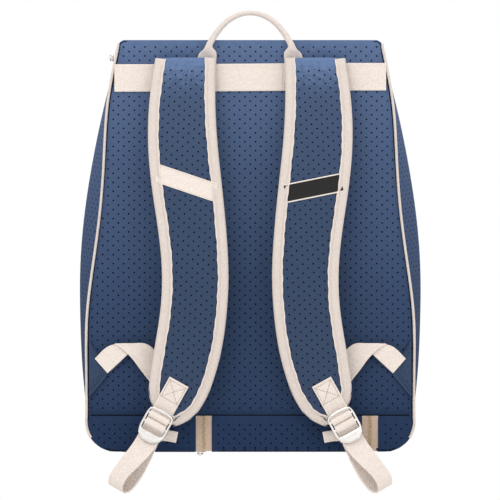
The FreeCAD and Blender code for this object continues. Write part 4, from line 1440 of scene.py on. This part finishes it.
# ---- zips and inside ----------------------------------------------------------------------
def make_zips():
    """Tapes, teeth, sliders and pulls."""
    for name, body in (("shoe_zip_tape_bag", "bag"), ("shoe_zip_tape_door", "shoe_door"),
                       ("lid_zip_tape", "bag"), ("racket_cover_zip_tape", "bag"),
                       ("front_pocket_zip_tape", "racket_cover")):
        refined(name, name + "_woven", body, "zip_tape", "tape", 0.25, 1)
    for tag, x, bag_side in (("left", -52.0, -1), ("right", 134.0, 1)):
        for owner, shift in (("bag", bag_side), ("shoe_door", -bag_side)):
            line = [(x + 0.65 * shift, 0.8, z) for z in np.linspace(39.5, 3.0, 20)]
            line += [(x + 0.65 * shift, y, 0.8) for y in np.linspace(3.0, 102.5, 40)]
            teeth(f"shoe_teeth_{tag}_{owner}", row(line), (1, 0, 0), owner)
    for side, s in SIDES:
        line = row([(s * (half_width(y, 445.6) + 1.35), y, 445.9)
                    for y in np.linspace(14.5, 105.5, 40)])
        teeth("lid_teeth_" + side, line, (0, 0, 1), "bag")
        line = row([(s * (half_width(118.4, z) + 1.35), 118.6, z)
                    for z in np.linspace(50.5, 424.5, 90)])
        teeth("cover_teeth_" + side, line, (0, 1, 0), "bag")
    for tag, y in (("a", 203.35), ("b", 204.65)):
        line = row(leant([(x, y, 261.5) for x in np.linspace(-79, 79, 60)]))
        teeth("pocket_teeth_" + tag, line, (0, 1, 0), "racket_cover")
    for zip_name in ("pocket_zip", "shoe_zip", "racket_zip", "lid_zip"):
        refined(zip_name + "_slider", zip_name + "_runner", zip_name + "_slider", "zip_metal",
                "zinc", 0.35)
        refined(zip_name + "_pull", zip_name + "_puller", zip_name + "_pull", "zip_pull_cord",
                "binding", 0.5)


def make_inside():
    """The pieces inside the bag."""
    for name, material, slot, bevel in (
            ("racket_divider", "lining", "lining_fabric", 1.5),
            ("shoe_compartment_ceiling", "lining", "lining_fabric", 1.2),
            ("base_board", "board", "base_board_plastic", 0.6),
            ("back_foam_pad", "lining", "lining_fabric", 2.6),
            ("laptop_sleeve", "lining", "lining_fabric", 0.9)):
        refined(name, name + "_lined", "bag", slot, material, bevel, 3)


# ---- stage --------------------------------------------------------------------------------
def make_stage():
    """The floor, the white room, the lights and the camera in front of the harness side."""
    scene = bpy.context.scene
    p = scene.backpack
    scene.view_settings.view_transform = "Standard"
    rim = [(FLOOR_RADIUS * math.cos(a), 0.1 + FLOOR_RADIUS * math.sin(a), BASE_Z - FLOOR_DROP)
           for a in np.linspace(0, 2 * math.pi, 97)[:-1]]
    new_object("floor", rim, [tuple(range(len(rim)))], MATERIALS["floor"])
    world = bpy.data.worlds.new("Studio")
    world.use_nodes = True
    background = world.node_tree.nodes["Background"].inputs
    background["Color"].default_value = (1, 1, 1, 1)
    background["Strength"].default_value = p.room_light
    scene.world = world
    aim = Vector((0.0, BACK_Y, BASE_Z + 0.225))
    for name, place, size in LIGHTS:
        light = bpy.data.lights.new(name, "AREA")
        light.shape, light.size, light.energy = "DISK", size, getattr(p, name + "_light")
        obj = bpy.data.objects.new(name, light)
        obj.location = place
        obj.rotation_euler = (aim - Vector(place)).to_track_quat("-Z", "Y").to_euler()
        scene.collection.objects.link(obj)
    camera = bpy.data.cameras.new("camera")
    camera.sensor_width, camera.lens = SENSOR, SENSOR * EYE_DISTANCE / VIEW_WIDTH
    camera.clip_end = 60.0
    eye = bpy.data.objects.new("camera", camera)
    eye.location = (-0.0003, BACK_Y - EYE_DISTANCE, BASE_Z + EYE_HEIGHT)
    eye.rotation_euler = (math.pi / 2, 0, 0)
    scene.collection.objects.link(eye)
    scene.camera = eye


# ---- add-on -------------------------------------------------------------------------------
def length(label, text, default, low, high):
    """A size in metres for the panel."""
    return bpy.props.FloatProperty(name=label, description=text, default=default, min=low,
                                   max=high, precision=5, subtype="DISTANCE", unit="LENGTH")


def colour(label, text, value):
    """A colour for the panel, from its sRGB value."""
    return bpy.props.FloatVectorProperty(name=label, description=text, default=linear(value),
                                         size=3, min=0.0, max=1.0, subtype="COLOR")


def power(label, text, default):
    """A light's strength for the panel."""
    return bpy.props.FloatProperty(name=label, description=text, default=default, min=0.0)


class BackpackProperties(bpy.types.PropertyGroup):
    """Sizes, colours and lights that a user would change."""
    hole_diameter: length("Hole diameter", "Width of each perforation", 0.0021, 0.0005, 0.004)
    hole_across: length("Holes across", "Spacing of the holes in a row", 0.0118, 0.004, 0.03)
    hole_along: length("Holes along", "Spacing of the rows of holes", 0.00505, 0.002, 0.02)
    hole_unevenness: length("Unevenness", "How far a hole strays", 0.00018, 0.0, 0.001)
    stitch_pitch: length("Stitch length", "Length of one stitch", 0.003, 0.001, 0.01)
    tooth_pitch: length("Tooth spacing", "Spacing of a zip's teeth", 0.0023, 0.0008, 0.004)
    back_puff: length("Back fullness", "Most that the back panel swells", 0.002, 0.0, 0.006)
    side_puff: length("Side fullness", "Most that a gusset swells", 0.003, 0.0, 0.006)
    front_puff: length("Front fullness", "Most that the front swells", 0.004, 0.0, 0.008)
    strap_puff: length("Strap fullness", "Most that a strap swells", 0.0018, 0.0, 0.004)
    seed: bpy.props.IntProperty(name="Seed", description="Seed of the small unevenness", default=3)
    # The navy cloth's colour is painted lighter from base to top, as painted top light.
    cloth_low: colour("Cloth, low", "Navy cloth at the base of the bag", "#1e2f4b")
    cloth_high: colour("Cloth, high", "Navy cloth at the top of the bag", "#56698b")
    # The strap cloth gets a painted highlight near its top, where it turns over.
    strap_low: colour("Strap, low", "Strap cloth at its darkest", "#334159")
    strap_high: colour("Strap, high", "Strap cloth where it turns over the top", "#5d7296")
    foam_colour: colour("Foam", "Cut foam inside the holes", "#131a28")
    lining_colour: colour("Lining", "Lining fabric", "#3d4656")
    webbing_colour: colour("Webbing", "Cream webbing", "#e5d9d0")
    # The handle's colour is the webbing's, darkened as painted shade.
    handle_colour: colour("Handle", "Rolled webbing of the grab handle", "#d6cbc4")
    binding_colour: colour("Binding", "Cream binding and piping", "#d9cdc5")
    thread_colour: colour("Thread", "Cream sewing thread", "#cfc1b6")
    box_thread_colour: colour("Box stitch thread", "Thread of the crossed boxes", "#b5a79c")
    navy_thread_colour: colour("Navy thread", "Thread on the navy cloth", "#26344d")
    label_colour: colour("Label", "Black label cloth", "#292829")
    tape_colour: colour("Zip tape", "Woven zip tape", "#c2ab99")
    coil_colour: colour("Zip coil", "Nylon teeth of the zips", "#c0ab80")
    zinc_colour: colour("Metal", "Plated zinc of the buckles and sliders", "#ebe7e4")
    board_colour: colour("Board", "Stiffening board in the base", "#484c51")
    floor_colour: colour("Floor", "Painted floor", "#f9f9f8")
    room_light: power("Room light", "Strength of the white room", 1.0)
    key_light: power("Key light", "Power of the main light", 22.0)
    top_light: power("Top light", "Power of the overhead light", 14.0)
    fill_light: power("Fill light", "Power of the fill light", 8.0)


class BACKPACK_OT_materials(bpy.types.Operator):
    """Make the cloth, webbing, metal and thread materials and the node groups"""
    bl_idname = "backpack.materials"
    bl_label = "Materials"

    def execute(self, context):
        make_materials()
        TREES["holes"], TREES["row"] = perforation_tree(), row_tree()
        return {"FINISHED"}


class BACKPACK_OT_bag(bpy.types.Operator):
    """Build the back, sides, base, shoe door and lid"""
    bl_idname = "backpack.bag"
    bl_label = "Bag"

    def execute(self, context):
        make_back()
        make_sides()
        make_shoe_door()
        make_lid()
        make_piping()
        return {"FINISHED"}


class BACKPACK_OT_cover(bpy.types.Operator):
    """Build the racket cover and its pocket"""
    bl_idname = "backpack.cover"
    bl_label = "Racket cover"

    def execute(self, context):
        make_cover()
        make_pocket()
        return {"FINISHED"}


class BACKPACK_OT_harness(bpy.types.Operator):
    """Build the straps, buckles, webbing and grab handle"""
    bl_idname = "backpack.harness"
    bl_label = "Harness"

    def execute(self, context):
        for side, s in SIDES:
            make_strap(side, s)
            make_buckle(side, s)
            make_anchor(side, s)
        make_handle()
        return {"FINISHED"}


class BACKPACK_OT_zips(bpy.types.Operator):
    """Build the zips and the inside pieces"""
    bl_idname = "backpack.zips"
    bl_label = "Zips and inside"

    def execute(self, context):
        make_zips()
        make_inside()
        return {"FINISHED"}


class BACKPACK_OT_stage(bpy.types.Operator):
    """Set the floor, the lights and the camera"""
    bl_idname = "backpack.stage"
    bl_label = "Stage"

    def execute(self, context):
        make_stage()
        return {"FINISHED"}


class BACKPACK_PT_panel(bpy.types.Panel):
    """Sizes and steps of the backpack"""
    bl_idname = "BACKPACK_PT_panel"
    bl_label = "Backpack"
    bl_space_type = "VIEW_3D"
    bl_region_type = "UI"
    bl_category = "Backpack"

    def draw(self, context):
        for name in BackpackProperties.__annotations__:
            self.layout.prop(context.scene.backpack, name)
        for operator in OPERATORS:
            self.layout.operator(operator.bl_idname)


OPERATORS = (BACKPACK_OT_materials, BACKPACK_OT_stage, BACKPACK_OT_bag, BACKPACK_OT_cover,
             BACKPACK_OT_harness, BACKPACK_OT_zips)
CLASSES = (BackpackProperties, *OPERATORS, BACKPACK_PT_panel)


def register():
    """Register the classes and the settings."""
    for cls in CLASSES:
        bpy.utils.register_class(cls)
    bpy.types.Scene.backpack = bpy.props.PointerProperty(type=BackpackProperties)


def unregister():
    """Take the settings and the classes away again."""
    del bpy.types.Scene.backpack
    for cls in reversed(CLASSES):
        bpy.utils.unregister_class(cls)


def main():
    """Build everything in order."""
    register()
    for operator in OPERATORS:
        group, name = operator.bl_idname.split(".")
        getattr(getattr(bpy.ops, group), name)()


if __name__ == "__main__":
    main()
